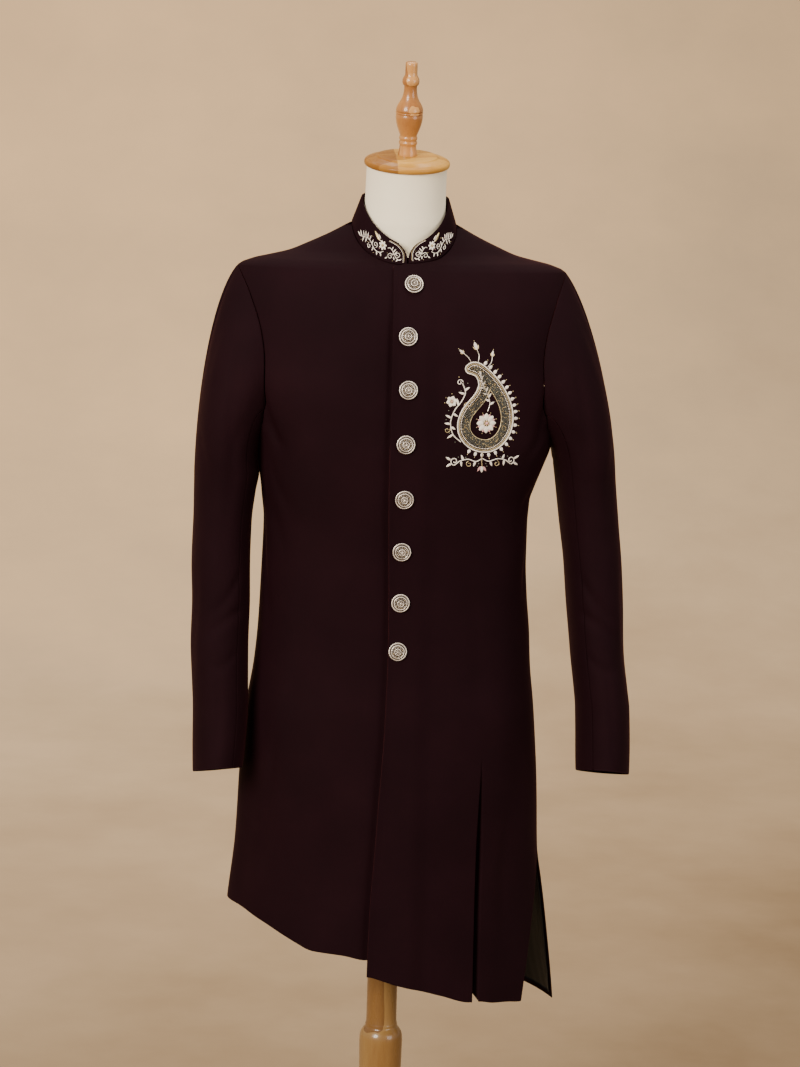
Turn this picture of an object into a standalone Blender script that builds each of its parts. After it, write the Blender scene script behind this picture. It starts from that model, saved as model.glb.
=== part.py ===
"""A men's sherwani coat buttoned on a limbless dress form with a turned wooden stand.

Metres, +Z up. The origin is on the floor under the stand's pole, the coat's front faces -Y,
and the wearer's left is +X. Every cloth piece is a wall between two lofted surfaces. All of
them are read from one body surface, skin(), and from one sleeve surface, sleeve_skin().
"""
import math

import bmesh
import bpy
import numpy as np

CLOTH = 0.0020
SEAM_GAP = 0.0003
HALF_SEAM = SEAM_GAP / 2

# Heights of the coat's landmarks
NECK_PIT = 1.4530
LAP_TOP = 1.4495
NECK_SIDE = 1.5060
VENT_TOP = 0.6430
PLEAT_TOP = 0.7850

# Mean heights of the slanted hems, at which a panel's lower rows are aimed
LEFT_HEM = 0.4550
RIGHT_HEM = 0.5400
BACK_HEM = 0.4500

# The armhole is an ellipse laid on the body surface round its side line
ARM_MIDDLE = 1.3250
ARM_HALF = 0.1200
ARM_SPREAD_FRONT = math.radians(35)
ARM_SPREAD_BACK = math.radians(32)
ARM_STEPS = 10

# Neckline and collar
NECK_HALF = 0.0715
NECK_RISE_POWER = 1.15
COLLAR_THICK = 0.0023
COLLAR_TOP_HALF = 0.0590
COLLAR_TOP_FRONT = 0.0580
COLLAR_TOP_BACK = 0.0570
COLLAR_TOP_MIDDLE = -0.0120
COLLAR_TOP_PIT = 1.4800
COLLAR_TOP_SIDE = 1.5410
COLLAR_TOP_RISE = 0.0090
COLLAR_TOP_POWER = 0.83
COLLAR_GAP = 0.0007
COLLAR_CORNER = 0.0205

# Front overlap
UNDERLAP = 0.0220
LAP_FLAT_TO = 0.0200
LAP_FADES_AT = 0.0480

# Inverted pleat in the wearer's left front
PLEAT_X = 0.1185
PLEAT_MOUTH = 0.0095
PLEAT_MOUTH_CLOSED = 0.0030
PLEAT_HEM_RISE = 0.0080
PLEAT_LINE_SHARE = 0.008
PLEAT_LINE_ABOVE = 0.0200
PLEAT_FLAT_BELOW = 0.0020

# Open side vent at the wearer's left
VENT_FRONT_SWING = math.radians(34)
VENT_FRONT_POWER = 0.48
VENT_BACK_SWING = math.radians(10)
VENT_FLARE = 0.0180
BACK_HEM_MIDDLE = 0.4840
BACK_HEM_SLOPE = 0.3617
LINING_THICK = 0.0010
LINING_GAP = 0.0009
LINING_TO_HEM = 0.94
LINING_TO_EDGE = 0.76

# Buttons
BUTTON_DOME = ((0.0, 0.0078), (0.0062, 0.0070), (0.0108, 0.0046), (0.0125, 0.0022), (0.0112, 0.0), (0.0, 0.0))
BUTTON_SIDES = 12
BUTTON_GAP = 0.0007

# Dress form and stand
FORM_BOTTOM = 0.8300
FORM_COLUMNS = 28
NECK_TILT = math.radians(12)
FORM_NECK_HALF = 0.0540
FORM_NECK_DEPTH = 0.0520
FORM_NECK_FOOT = 1.4800
FORM_NECK_TOP = 1.5830
FORM_NECK_WIDEN = 0.0028
# Neck levels: height, how much wider than the neck, how evenly its points are spread
NECK_RINGS = ((1.5050, 0.0026, 0.0), (1.5140, 0.0018, 0.3), (1.5300, 0.0007, 0.65), (1.5550, 0.0, 1.0),
              (FORM_NECK_TOP, 0.0, 1.0))
CAP_PROFILE = ((0.0, 0.0140), (0.0390, 0.0140), (0.0545, 0.0085), (0.0576, 0.0055), (0.0576, 0.0010),
               (0.0560, 0.0), (0.0, 0.0))
POLE_RADIUS = 0.0214
POLE_PROFILE = ((0.0, 0.8297), (POLE_RADIUS, 0.8297), (POLE_RADIUS, 0.3760), (0.0245, 0.3700),
                (0.0300, 0.3620), (0.0305, 0.3480), (0.0300, 0.3100), (0.0255, 0.2900), (0.0240, 0.1500),
                (0.0290, 0.1300), (0.0310, 0.1000), (0.0255, 0.0800), (0.0255, 0.0603), (0.0, 0.0603))
BASE_PROFILE = ((0.0, 0.0600), (0.0420, 0.0600), (0.0470, 0.0520), (0.0520, 0.0360), (0.1700, 0.0300),
                (0.1950, 0.0240), (0.2000, 0.0160), (0.2000, 0.0040), (0.1960, 0.0), (0.0, 0.0))


class Table:
    """Rows of named columns, read along a smooth curve that never overshoots its rows."""

    def __init__(self, names, *rows):
        self.columns = dict(zip(names.split(), np.array(rows, float).T))
        self.key = self.columns[names.split()[0]]
        self.slopes = {name: self.slope(values) for name, values in self.columns.items()}

    def slope(self, values):
        rise = np.diff(values) / np.diff(self.key)
        slopes = np.empty(len(values))
        slopes[0] = rise[0]
        slopes[-1] = rise[-1]
        same = rise[:-1] * rise[1:] > 0
        total = np.where(same, rise[:-1] + rise[1:], 1)
        slopes[1:-1] = np.where(same, 2 * rise[:-1] * rise[1:] / total, 0)
        return slopes

    def at(self, key, name):
        values = self.columns[name]
        slopes = self.slopes[name]
        key = np.clip(key, self.key[0], self.key[-1])
        low = np.clip(np.searchsorted(self.key, key, side="right") - 1, 0, len(self.key) - 2)
        width = self.key[low + 1] - self.key[low]
        t = (key - self.key[low]) / width
        start = (1 + 2 * t) * (1 - t) ** 2 * values[low] + t * (1 - t) ** 2 * width * slopes[low]
        end = t * t * (3 - 2 * t) * values[low + 1] + t * t * (t - 1) * width * slopes[low + 1]
        return start + end


# Horizontal sections of the coat: reach to the wearer's left and right, depth to the front and
# to the back, roundness
BODY = Table(
    "z      left    right   front   back    power",
    (0.3800, 0.2380, 0.2380, 0.1520, 0.1400, 1.8),
    (0.4500, 0.2320, 0.2320, 0.1480, 0.1360, 1.8),
    (0.5600, 0.2225, 0.2225, 0.1410, 0.1310, 1.8),
    (0.6430, 0.2135, 0.2135, 0.1350, 0.1270, 1.9),
    (0.7000, 0.2105, 0.2105, 0.1320, 0.1250, 2.0),
    (0.7500, 0.2080, 0.2080, 0.1290, 0.1230, 2.1),
    (0.8000, 0.2040, 0.2040, 0.1260, 0.1215, 2.2),
    (0.8500, 0.1990, 0.1990, 0.1230, 0.1200, 2.3),
    (0.9000, 0.1930, 0.1915, 0.1190, 0.1160, 2.3),
    (0.9500, 0.1895, 0.1870, 0.1165, 0.1100, 2.3),
    (1.0000, 0.1845, 0.1845, 0.1160, 0.1040, 2.3),
    (1.0500, 0.1820, 0.1830, 0.1170, 0.1000, 2.3),
    (1.1000, 0.1820, 0.1820, 0.1200, 0.0990, 2.3),
    (1.1320, 0.1835, 0.1850, 0.1232, 0.1006, 2.3),
    (1.1500, 0.1893, 0.1868, 0.1250, 0.1020, 2.3),
    (1.1650, 0.1950, 0.1890, 0.1262, 0.1035, 2.3),
    (1.1800, 0.2008, 0.1903, 0.1275, 0.1053, 2.3),
    (1.2050, 0.2100, 0.1935, 0.1290, 0.1080, 2.3),
    (1.2540, 0.2190, 0.2110, 0.1290, 0.1150, 2.2),
    (1.2880, 0.2235, 0.2200, 0.1270, 0.1190, 2.2),
    (1.3250, 0.2268, 0.2260, 0.1230, 0.1210, 2.1),
    (1.3620, 0.2290, 0.2290, 0.1170, 0.1200, 2.05),
    (1.3950, 0.2300, 0.2300, 0.1090, 0.1160, 2.0),
    (1.4220, 0.2280, 0.2280, 0.0990, 0.1110, 1.9),
    (1.4450, 0.2230, 0.2230, 0.0870, 0.1040, 1.8),
    (1.4545, 0.2020, 0.2020, 0.0780, 0.1000, 1.75),
    (1.4600, 0.1790, 0.1790, 0.0690, 0.0960, 1.7),
    (1.4660, 0.1550, 0.1550, 0.0610, 0.0925, 1.7),
    (1.4765, 0.1300, 0.1300, 0.0520, 0.0855, 1.7),
    (1.4905, 0.1000, 0.1000, 0.0390, 0.0750, 1.75),
    (1.4980, 0.0860, 0.0860, 0.0270, 0.0690, 1.85),
    (1.5060, 0.0716, 0.0716, 0.0140, 0.0610, 2.0),
)

# The wearer's left front's free edge, and how far it stands proud of the right front
PLACKET = Table(
    "z      edge     lap",
    (0.3800, -0.0350, 0.0060),
    (0.5150, -0.0330, 0.0060),
    (0.7370, -0.0230, 0.0050),
    (0.8190, -0.0182, 0.0042),
    (0.9400, -0.0154, 0.0036),
    (1.2130, -0.0214, 0.0034),
    (1.4530, -0.0200, 0.0032),
)

PLEAT = Table(
    "z      depth",
    (0.3800, 0.0300),
    (0.5600, 0.0240),
    (0.6600, 0.0140),
    (0.7400, 0.0050),
    (0.7850, 0.0),
)

# Front hem heights round the body: short at the wearer's right, long at the left
HEM_RIGHT = Table(
    "degrees z",
    (-90, 0.5620),
    (-80, 0.5614),
    (-74, 0.5608),
    (-67, 0.5590),
    (-53.5, 0.5495),
    (-42.2, 0.5358),
    (-35.7, 0.5267),
    (-32.6, 0.5222),
    (-30.0, 0.5206),
    (-24, 0.5194),
    (-19, 0.5182),
    (-11, 0.5133),
    (17, 0.5120),
)
HEM_LEFT = Table(
    "degrees z",
    (-19, 0.4960),
    (-10, 0.4926),
    (-1, 0.4838),
    (10, 0.4739),
    (19.4, 0.4630),
    (31.2, 0.4484),
    (34.3, 0.4478),
    (41, 0.4420),
    (48, 0.4384),
    (57, 0.4335),
    (90, 0.4330),
)

# Largest folds of the coat: where each runs, how wide and how deep it is; degrees go with
# the body surface's angle, and a negative depth is a trough
FOLDS = (
    dict(top=(1.08, 62), bottom=(0.52, 50), width=9, depth=-0.0030),
    dict(top=(0.98, -58), bottom=(0.58, -70), width=10, depth=-0.0035),
    dict(top=(0.90, -30), bottom=(0.50, -34), width=12, depth=0.0025),
    dict(top=(0.86, 12), bottom=(0.44, 16), width=10, depth=0.0025),
    dict(top=(0.98, 118), bottom=(0.42, 126), width=10, depth=-0.0040),
    dict(top=(0.94, 146), bottom=(0.44, 150), width=9, depth=0.0040),
    dict(top=(0.96, -122), bottom=(0.54, -130), width=10, depth=-0.0040),
    dict(top=(0.94, -150), bottom=(0.50, -152), width=9, depth=0.0040),
)

BUTTONS = Table(
    "z      x",
    (0.9385, -0.0025),
    (1.0048, -0.0005),
    (1.0748, -0.0010),
    (1.1463, 0.0000),
    (1.2199, -0.0005),
    (1.2915, 0.0010),
    (1.3607, -0.0005),
    (1.4275, 0.0070),
)

# Horizontal sections of each sleeve below its cap; x is outward from the centre
SLEEVE_LEFT = Table(
    "z      x       half    y        depth",
    (0.7450, 0.2925, 0.0366, -0.0620, 0.0575),
    (0.7890, 0.2925, 0.0375, -0.0530, 0.0585),
    (0.8460, 0.2915, 0.0373, -0.0420, 0.0595),
    (0.8720, 0.2890, 0.0370, -0.0370, 0.0600),
    (0.9230, 0.2835, 0.0370, -0.0260, 0.0610),
    (0.9910, 0.2790, 0.0388, -0.0140, 0.0640),
    (1.0470, 0.2747, 0.0397, -0.0060, 0.0670),
    (1.1030, 0.2680, 0.0407, 0.0000, 0.0700),
    (1.1600, 0.2610, 0.0414, 0.0010, 0.0740),
    (1.1800, 0.2585, 0.0420, 0.0000, 0.0760),
)
SLEEVE_RIGHT = Table(
    "z      x       half    y        depth",
    (0.7450, 0.2410, 0.0325, -0.0620, 0.0575),
    (0.7900, 0.2385, 0.0360, -0.0530, 0.0585),
    (0.8490, 0.2370, 0.0380, -0.0410, 0.0595),
    (0.8760, 0.2380, 0.0385, -0.0360, 0.0600),
    (0.9310, 0.2395, 0.0396, -0.0250, 0.0615),
    (0.9850, 0.2383, 0.0397, -0.0150, 0.0640),
    (1.0390, 0.2393, 0.0402, -0.0070, 0.0670),
    (1.0950, 0.2380, 0.0401, -0.0010, 0.0695),
    (1.1390, 0.2354, 0.0424, 0.0010, 0.0720),
    (1.1640, 0.2336, 0.0442, 0.0008, 0.0745),
    (1.1800, 0.2341, 0.0433, 0.0000, 0.0760),
)
# How round the sleeves are: fuller at the top, pressed flat at the cuff
SLEEVE_POWER = Table(
    "z      power",
    (0.7450, 1.75),
    (0.8000, 1.85),
    (0.9000, 2.0),
    (1.0300, 2.2),
    (1.1800, 2.2),
)
SLEEVE_RING = 1.1800
CUFF = 0.7585
# The cuff is cut square to the arm: it rises towards the front and drops a little outwards
CUFF_RISE = 0.256
CUFF_DROP = 0.080
CUFF_FROM = 0.9200
CAP_STEPS = 6
SLEEVE_ROWS = (1.160, 1.110, 1.050, 0.990, 0.925, 0.860, 0.800, CUFF)
SLEEVE_COLUMNS = 2 * ARM_STEPS
UNDER_FROM = math.radians(126)
UNDER_TO = math.radians(252)

# The form keeps clear of the coat: close under the shoulders, where the cloth rests on it
FORM_CLEAR = Table(
    "z      clear",
    (0.8300, 0.0080),
    (1.3200, 0.0060),
    (1.4100, 0.0030),
    (1.4450, 0.0009),
    (1.4560, 0.0011),
    (1.4680, 0.0024),
    (1.5060, 0.0026),
)
# Its sides are cut flat inside the armholes
FORM_SIDE = Table(
    "z      half",
    (0.8300, 0.2500),
    (1.1700, 0.2000),
    (1.2300, 0.1800),
    (1.2880, 0.1770),
    (1.3620, 0.1800),
    (1.4050, 0.1880),
    (1.4300, 0.2020),
    (1.4450, 0.2190),
    (1.5060, 0.2190),
)

# The turned finial: height up its own axis and radius
FINIAL = (
    (0.0, 0.1250), (0.0060, 0.1244), (0.0081, 0.1200), (0.0081, 0.1075), (0.0105, 0.1035), (0.0114, 0.0990),
    (0.0100, 0.0945), (0.0086, 0.0890), (0.0110, 0.0780), (0.0160, 0.0680), (0.0182, 0.0600), (0.0172, 0.0580),
    (0.0182, 0.0555), (0.0160, 0.0430), (0.0114, 0.0265), (0.0122, 0.0225), (0.0112, 0.0185), (0.0122, 0.0150),
    (0.0112, 0.0110), (0.0128, 0.0040), (0.0128, 0.0003), (0.0, 0.0003),
)

LOWER_ROWS = (VENT_TOP, 0.7200, 0.7900, 0.8600, 0.9300, 1.0000, 1.0700, 1.1300, 1.1750)
HEM_FRACTIONS = (1.0, 0.66, 0.33)
PANEL_COLUMNS = np.linspace(0, 1, 9)
NECK_TURNS = np.radians([15, 27, 38, 49, 60, 71, 80, 87])
COLLAR_END_TURNS = np.radians([0.6, 2, 4.5, 9])


def smooth_step(value):
    value = np.clip(value, 0, 1)
    return value * value * (3 - 2 * value)


def skin(angle, z):
    """Points of the coat's outer surface. Angle 0 is the front, +90 degrees the wearer's left."""
    angle, z = np.broadcast_arrays(np.asarray(angle, float), np.asarray(z, float))
    across = np.sin(angle)
    along = np.cos(angle)
    power = 2 / BODY.at(z, "power")
    depth = np.where(along >= 0, BODY.at(z, "front"), BODY.at(z, "back"))
    x = side_reach(across, z) * np.sign(across) * np.abs(across) ** power
    y = -depth * np.sign(along) * np.abs(along) ** power
    return np.stack([x, y, z], axis=-1)


def side_reach(side, z):
    return np.where(side >= 0, BODY.at(z, "left"), BODY.at(z, "right"))


def skin_normal(angle, z):
    turn = 0.01
    rise = 0.002
    across = skin(angle + turn, z) - skin(angle - turn, z)
    up = skin(angle, z + rise) - skin(angle, z - rise)
    return unit(np.cross(across, up))


def unit(vectors):
    return vectors / np.maximum(np.linalg.norm(vectors, axis=-1, keepdims=True), 1e-12)


def front_angle(x, z):
    """The angle at which the front of the body surface has that x."""
    share = np.clip(np.abs(x) / side_reach(x, z), 0, 1)
    return np.sign(x) * np.arcsin(share ** (BODY.at(z, "power") / 2))


def folds(angle, z):
    """How far the largest folds lift the surface."""
    lift = np.zeros(np.broadcast(angle, z).shape)
    for fold in FOLDS:
        (top, top_degrees), (bottom, bottom_degrees) = fold["top"], fold["bottom"]
        down = (top - z) / (top - bottom)
        middle = np.radians(top_degrees + (bottom_degrees - top_degrees) * down)
        beside = (angle - middle + math.pi) % (2 * math.pi) - math.pi
        lift = lift + fold["depth"] * smooth_step(down) * np.exp(-((beside / math.radians(fold["width"])) ** 2))
    return lift


def wall(angle, z, lift):
    """Outer and inner points of a wall on the body surface, raised by lift."""
    points = skin(angle, z)
    normals = skin_normal(angle, z)
    lift = np.asarray(lift)[..., None]
    return points + normals * lift, points + normals * (lift - CLOTH)


def neckline_height(psi):
    return NECK_PIT + (NECK_SIDE - NECK_PIT) * np.clip(1 - np.cos(psi), 0, 1) ** NECK_RISE_POWER


def neckline_x(z):
    """Half width of the neckline at a height between its pit and its side."""
    rise = np.clip((z - NECK_PIT) / (NECK_SIDE - NECK_PIT), 0, 1)
    cosine = 1 - rise ** (1 / NECK_RISE_POWER)
    return NECK_HALF * np.sqrt(1 - cosine**2)


def armhole_heights():
    steps = np.arange(ARM_STEPS + 1) / ARM_STEPS
    return ARM_MIDDLE - ARM_HALF * np.cos(math.pi * steps)


def side_angle(z, spread):
    """Where a panel ends: at the side line, or at the armhole within its height."""
    share = (z - ARM_MIDDLE) / ARM_HALF
    return math.pi / 2 - spread * np.sqrt(np.clip(1 - share**2, 0, 1))


def panel_rows():
    """Every row of a panel as (height, fraction down to the hem)."""
    rows = [(VENT_TOP, fraction) for fraction in HEM_FRACTIONS]
    rows += [(z, 0.0) for z in LOWER_ROWS]
    rows += [(z, 0.0) for z in armhole_heights()]
    rows += [(z, 0.0) for z in (LAP_TOP, NECK_PIT, *neckline_height(NECK_TURNS))]
    return rows


def drop_to_hem(z, fraction, hem):
    return z + (hem - z) * fraction


def lap_lift(x, z):
    """How far the overlap stands proud of the front below it."""
    return PLACKET.at(z, "lap") * (1 - smooth_step((x - LAP_FLAT_TO) / (LAP_FADES_AT - LAP_FLAT_TO)))


def front_left():
    """The wearer's left front: overlap, inverted pleat and the vent's front edge."""
    outer_rows = []
    inner_rows = []
    line_share = pleat_line_share()
    for top, fraction in reversed(panel_rows()):
        level = drop_to_hem(top, fraction, LEFT_HEM)
        start = front_angle(PLACKET.at(level, "edge"), level)
        if top >= NECK_PIT:
            start = front_angle(neckline_x(top), top)
        end = side_angle(level, ARM_SPREAD_FRONT)
        if fraction:
            open_share = (VENT_TOP - level) / (VENT_TOP - LEFT_HEM)
            end -= VENT_FRONT_SWING * open_share**VENT_FRONT_POWER
        open_width = smooth_step((PLEAT_TOP - level) / (PLEAT_TOP - VENT_TOP))
        mouth = PLEAT_MOUTH_CLOSED + (PLEAT_MOUTH - PLEAT_MOUTH_CLOSED) * open_width
        if level > PLEAT_TOP + PLEAT_LINE_ABOVE:
            lips = [start + (end - start) * (line_share + side * PLEAT_LINE_SHARE) for side in (-1, 1)]
        else:
            lips = [front_angle(PLEAT_X + side * mouth / 2, level) for side in (-1, 1)]
        near = start + (lips[0] - start) * np.array([0, 0.12, 0.24, 0.33, 0.43, 0.55, 0.70, 0.86, 1])
        inside = lips[0] + (lips[1] - lips[0]) * np.array([0.25, 0.75])
        far = lips[1] + (end - lips[1]) * np.array([0, 0.25, 0.5, 0.75, 1])
        angles = np.concatenate([near, inside, far])
        hem = HEM_LEFT.at(np.degrees(angles), "z")
        hem[9:11] += PLEAT_HEM_RISE
        z = drop_to_hem(top, fraction, hem)
        x = skin(angles, z)[:, 0]
        lift = lap_lift(x, z) + folds(angles, z)
        lift[9:11] -= PLEAT.at(z[9:11], "depth")
        outer, inner = wall(angles, z, lift)
        outer_rows.append(outer)
        inner_rows.append(inner)
    outer = np.array(outer_rows)
    inner = np.array(inner_rows)
    depth = PLEAT.at(outer[:, 8:12, 2], "depth")[..., None]
    pleated = outer[:, 8:12] + grid_normals(outer)[:, 8:12] * CLOTH
    folded = depth.max(axis=1, keepdims=True) > PLEAT_FLAT_BELOW
    inner[:, 8:12] = np.where(folded, pleated, inner[:, 8:12])
    part_at_side(outer, inner, -1, -1)
    return outer, inner


def pleat_line_share():
    """How far across the front the pleat's line runs on above its top."""
    start = front_angle(PLACKET.at(PLEAT_TOP, "edge"), PLEAT_TOP)
    return float((front_angle(PLEAT_X, PLEAT_TOP) - start) / (math.pi / 2 - start))


def grid_normals(points):
    """Inward normals of a grid whose rows run down and whose columns run to the wearer's left."""
    down = np.gradient(points, axis=0)
    across = np.gradient(points, axis=1)
    return unit(np.cross(across, down))


def part_at_side(outer, inner, column, direction):
    """Moves a side or shoulder seam edge half a seam gap to its own side, in Y."""
    for points in (outer, inner):
        edge = points[:, column, 1]
        near = np.abs(edge) < 0.004
        points[:, column, 1] = np.where(near, direction * HALF_SEAM, edge)


def front_right():
    """The wearer's right front, whose underlap lies under the left front."""
    outer_rows = []
    inner_rows = []
    for top, fraction in reversed(panel_rows()):
        level = drop_to_hem(top, fraction, RIGHT_HEM)
        start = front_angle(UNDERLAP, level)
        if top >= NECK_PIT:
            start = -front_angle(neckline_x(top), top)
        end = -side_angle(level, ARM_SPREAD_FRONT)
        angles = start + (end - start) * np.array([0, 0.14, 0.27, 0.38, 0.5, 0.62, 0.74, 0.87, 1])
        z = drop_to_hem(top, fraction, HEM_RIGHT.at(np.degrees(angles), "z"))
        outer, inner = wall(angles, z, folds(angles, z))
        outer_rows.append(outer)
        inner_rows.append(inner)
    outer = np.array(outer_rows)
    inner = np.array(inner_rows)
    part_at_side(outer, inner, -1, -1)
    return outer, inner


def back_hem(angles, z):
    x = skin(angles, z)[..., 0]
    return BACK_HEM_MIDDLE - BACK_HEM_SLOPE * x


def vent_flare(angle, z):
    """How far the back's free edge swings out below the vent's top."""
    down = np.clip((VENT_TOP - z) / (VENT_TOP - 0.4000), 0, 1.2)
    fade = 1 - smooth_step((np.degrees(angle) - 118) / 45)
    return VENT_FLARE * down**1.2 * fade


def back_angles(side, level, fraction, columns):
    """Angles across one back panel, from the centre back to its side."""
    end = math.pi - side_angle(level, ARM_SPREAD_BACK)
    if fraction and side > 0:
        end += VENT_BACK_SWING * fraction
    return side * (math.pi + (end - math.pi) * columns)


def back(side):
    """A back panel: side +1 is the wearer's left, which has the vent."""
    outer_rows = []
    inner_rows = []
    for top, fraction in reversed(panel_rows() + [(NECK_SIDE, 0.0)]):
        level = drop_to_hem(top, fraction, BACK_HEM)
        angles = back_angles(side, level, fraction, PANEL_COLUMNS)
        z = drop_to_hem(top, fraction, back_hem(angles, BACK_HEM))
        lift = folds(angles, z)
        if side > 0:
            lift = lift + vent_flare(angles, z)
        outer, inner = wall(angles, z, lift)
        outer_rows.append(outer)
        inner_rows.append(inner)
    outer = np.array(outer_rows)
    inner = np.array(inner_rows)
    for points in (outer, inner):
        points[:, 0, 0] = side * HALF_SEAM
    part_at_side(outer, inner, -1, 1)
    return outer, inner


def lining_vent():
    """The lining behind the open vent, a thin sheet just inside the back's wall."""
    outer_rows = []
    inner_rows = []
    for fraction in (0.0, *HEM_FRACTIONS[:0:-1], LINING_TO_HEM):
        level = drop_to_hem(VENT_TOP, fraction, BACK_HEM)
        angles = back_angles(1, level, fraction, PANEL_COLUMNS[3:])
        z = drop_to_hem(VENT_TOP, fraction, back_hem(angles, BACK_HEM))
        points = skin(angles, z)
        normals = skin_normal(angles, z)
        lift = (folds(angles, z) + vent_flare(angles, z) - CLOTH - LINING_GAP)[..., None]
        outer_rows.append(points + normals * lift)
        inner_rows.append(points + normals * (lift - LINING_THICK))
    sheet = np.array([outer_rows, inner_rows])
    sheet[:, :, -1] = sheet[:, :, -2] + (sheet[:, :, -1] - sheet[:, :, -2]) * LINING_TO_EDGE
    return sheet[0], sheet[1]


def sleeve_ring(table, side, phi, z):
    """Points of a horizontal sleeve section. Phi 0 is outermost, 90 degrees the front."""
    power = 2 / SLEEVE_POWER.at(z, "power")
    cosine = np.cos(phi)
    sine = np.sin(phi)
    x = table.at(z, "x") + table.at(z, "half") * np.sign(cosine) * np.abs(cosine) ** power
    y = table.at(z, "y") - table.at(z, "depth") * np.sign(sine) * np.abs(sine) ** power
    return np.stack([side * x, y, z + 0 * x], axis=-1)


def sleeve_height(table, side, phi, level):
    """Heights of one level of a sleeve, which tilts more and more towards the cuff."""
    ring = sleeve_ring(table, side, phi, level)
    forward = table.at(level, "y") - ring[..., 1]
    beyond = side * ring[..., 0] - table.at(level, "x")
    share = min(max((CUFF_FROM - level) / (CUFF_FROM - CUFF), 0), 1)
    return level + share * (CUFF_RISE * forward - CUFF_DROP * beyond)


def armhole(side, phi):
    """Points and normals of the armhole. Phi 0 is its top, 90 degrees its front."""
    spread = np.where(np.sin(phi) > 0, ARM_SPREAD_FRONT, ARM_SPREAD_BACK)
    z = ARM_MIDDLE + ARM_HALF * np.cos(phi)
    angle = side * (math.pi / 2 - spread * np.sin(phi))
    return skin(angle, z), skin_normal(angle, z)


def away_from_panel(points, ahead, normals, towards):
    """Unit steps on the surface across a seam line, to the side where towards lies."""
    steps = unit(np.cross(normals, ahead))
    facing = np.sum(steps * (towards - points), axis=-1, keepdims=True)
    return np.where(facing < 0, -steps, steps)


def sleeve_skin(side, phi, t):
    """Points of a sleeve: t from 0 to 1 is the cap, from 1 to 2 runs down to the cuff."""
    table = SLEEVE_LEFT if side > 0 else SLEEVE_RIGHT
    if t > 1:
        level = SLEEVE_RING + (CUFF - SLEEVE_RING) * (t - 1)
        return sleeve_ring(table, side, phi, sleeve_height(table, side, phi, level))
    start, normals = armhole(side, phi)
    ahead = armhole(side, phi + 0.01)[0] - armhole(side, phi - 0.01)[0]
    middle = skin(side * math.pi / 2, ARM_MIDDLE)
    steps = away_from_panel(start, ahead, normals, middle)
    start = start + steps * SEAM_GAP
    end = sleeve_ring(table, side, phi, SLEEVE_RING)
    below = sleeve_ring(table, side, phi, SLEEVE_RING - 0.01)
    under = (1 - np.cos(phi))[:, None] / 2
    lean = np.radians(8 + 100 * under)
    length = np.linalg.norm(end - start, axis=-1, keepdims=True)
    leave = (steps * np.cos(lean) + normals * np.sin(lean)) * length * (0.5 + 0.4 * under)
    arrive = unit(below - end) * length * (1.28 - 0.2 * under)
    return (
        (2 * t**3 - 3 * t**2 + 1) * start
        + (t**3 - 2 * t**2 + t) * leave
        + (3 * t**2 - 2 * t**3) * end
        + (t**3 - t**2) * arrive
    )


def sleeve_levels():
    levels = [step / CAP_STEPS for step in range(CAP_STEPS + 1)]
    return levels + [1 + (SLEEVE_RING - z) / (SLEEVE_RING - CUFF) for z in SLEEVE_ROWS]


def sleeve(side, first, last, columns):
    """One piece of a two-piece sleeve, between two seam lines."""
    trim = math.radians(0.16)
    phi = np.linspace(first, last, columns + 1)
    phi[0] += trim
    phi[-1] -= trim
    turn = 0.01
    outer_rows = []
    inner_rows = []
    for t in sleeve_levels():
        points = sleeve_skin(side, phi, t)
        around = sleeve_skin(side, phi + turn, t) - sleeve_skin(side, phi - turn, t)
        before, after = (t - 0.02, t + 0.02) if t > 1.01 else (max(t - 0.02, 0), min(t + 0.02, 1))
        down = sleeve_skin(side, phi, after) - sleeve_skin(side, phi, before)
        normals = unit(np.cross(around, down)) * side
        outer_rows.append(points)
        inner_rows.append(points - normals * CLOTH)
    return np.array(outer_rows), np.array(inner_rows)


def neckline(psi):
    """Points and normals of the neckline. Psi 0 is the centre front, 180 degrees the back."""
    turned = np.abs(psi)
    front = turned < math.pi / 2
    z = np.where(front, neckline_height(turned), NECK_SIDE)
    angle = np.where(front, np.abs(front_angle(NECK_HALF * np.sin(turned), z)), turned)
    angle = angle * np.sign(psi)
    return skin(angle, z), skin_normal(angle, z)


def collar_top(psi):
    cosine = np.cos(psi)
    front = cosine > 0
    x = COLLAR_TOP_HALF * np.sin(psi)
    y = COLLAR_TOP_MIDDLE - np.where(front, COLLAR_TOP_FRONT, COLLAR_TOP_BACK) * cosine
    climb = (COLLAR_TOP_SIDE - COLLAR_TOP_PIT) * np.clip(1 - cosine, 0, 1) ** COLLAR_TOP_POWER
    z = np.where(front, COLLAR_TOP_PIT + climb, COLLAR_TOP_SIDE - COLLAR_TOP_RISE * cosine)
    return np.stack([x, y, z], axis=-1)


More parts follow.
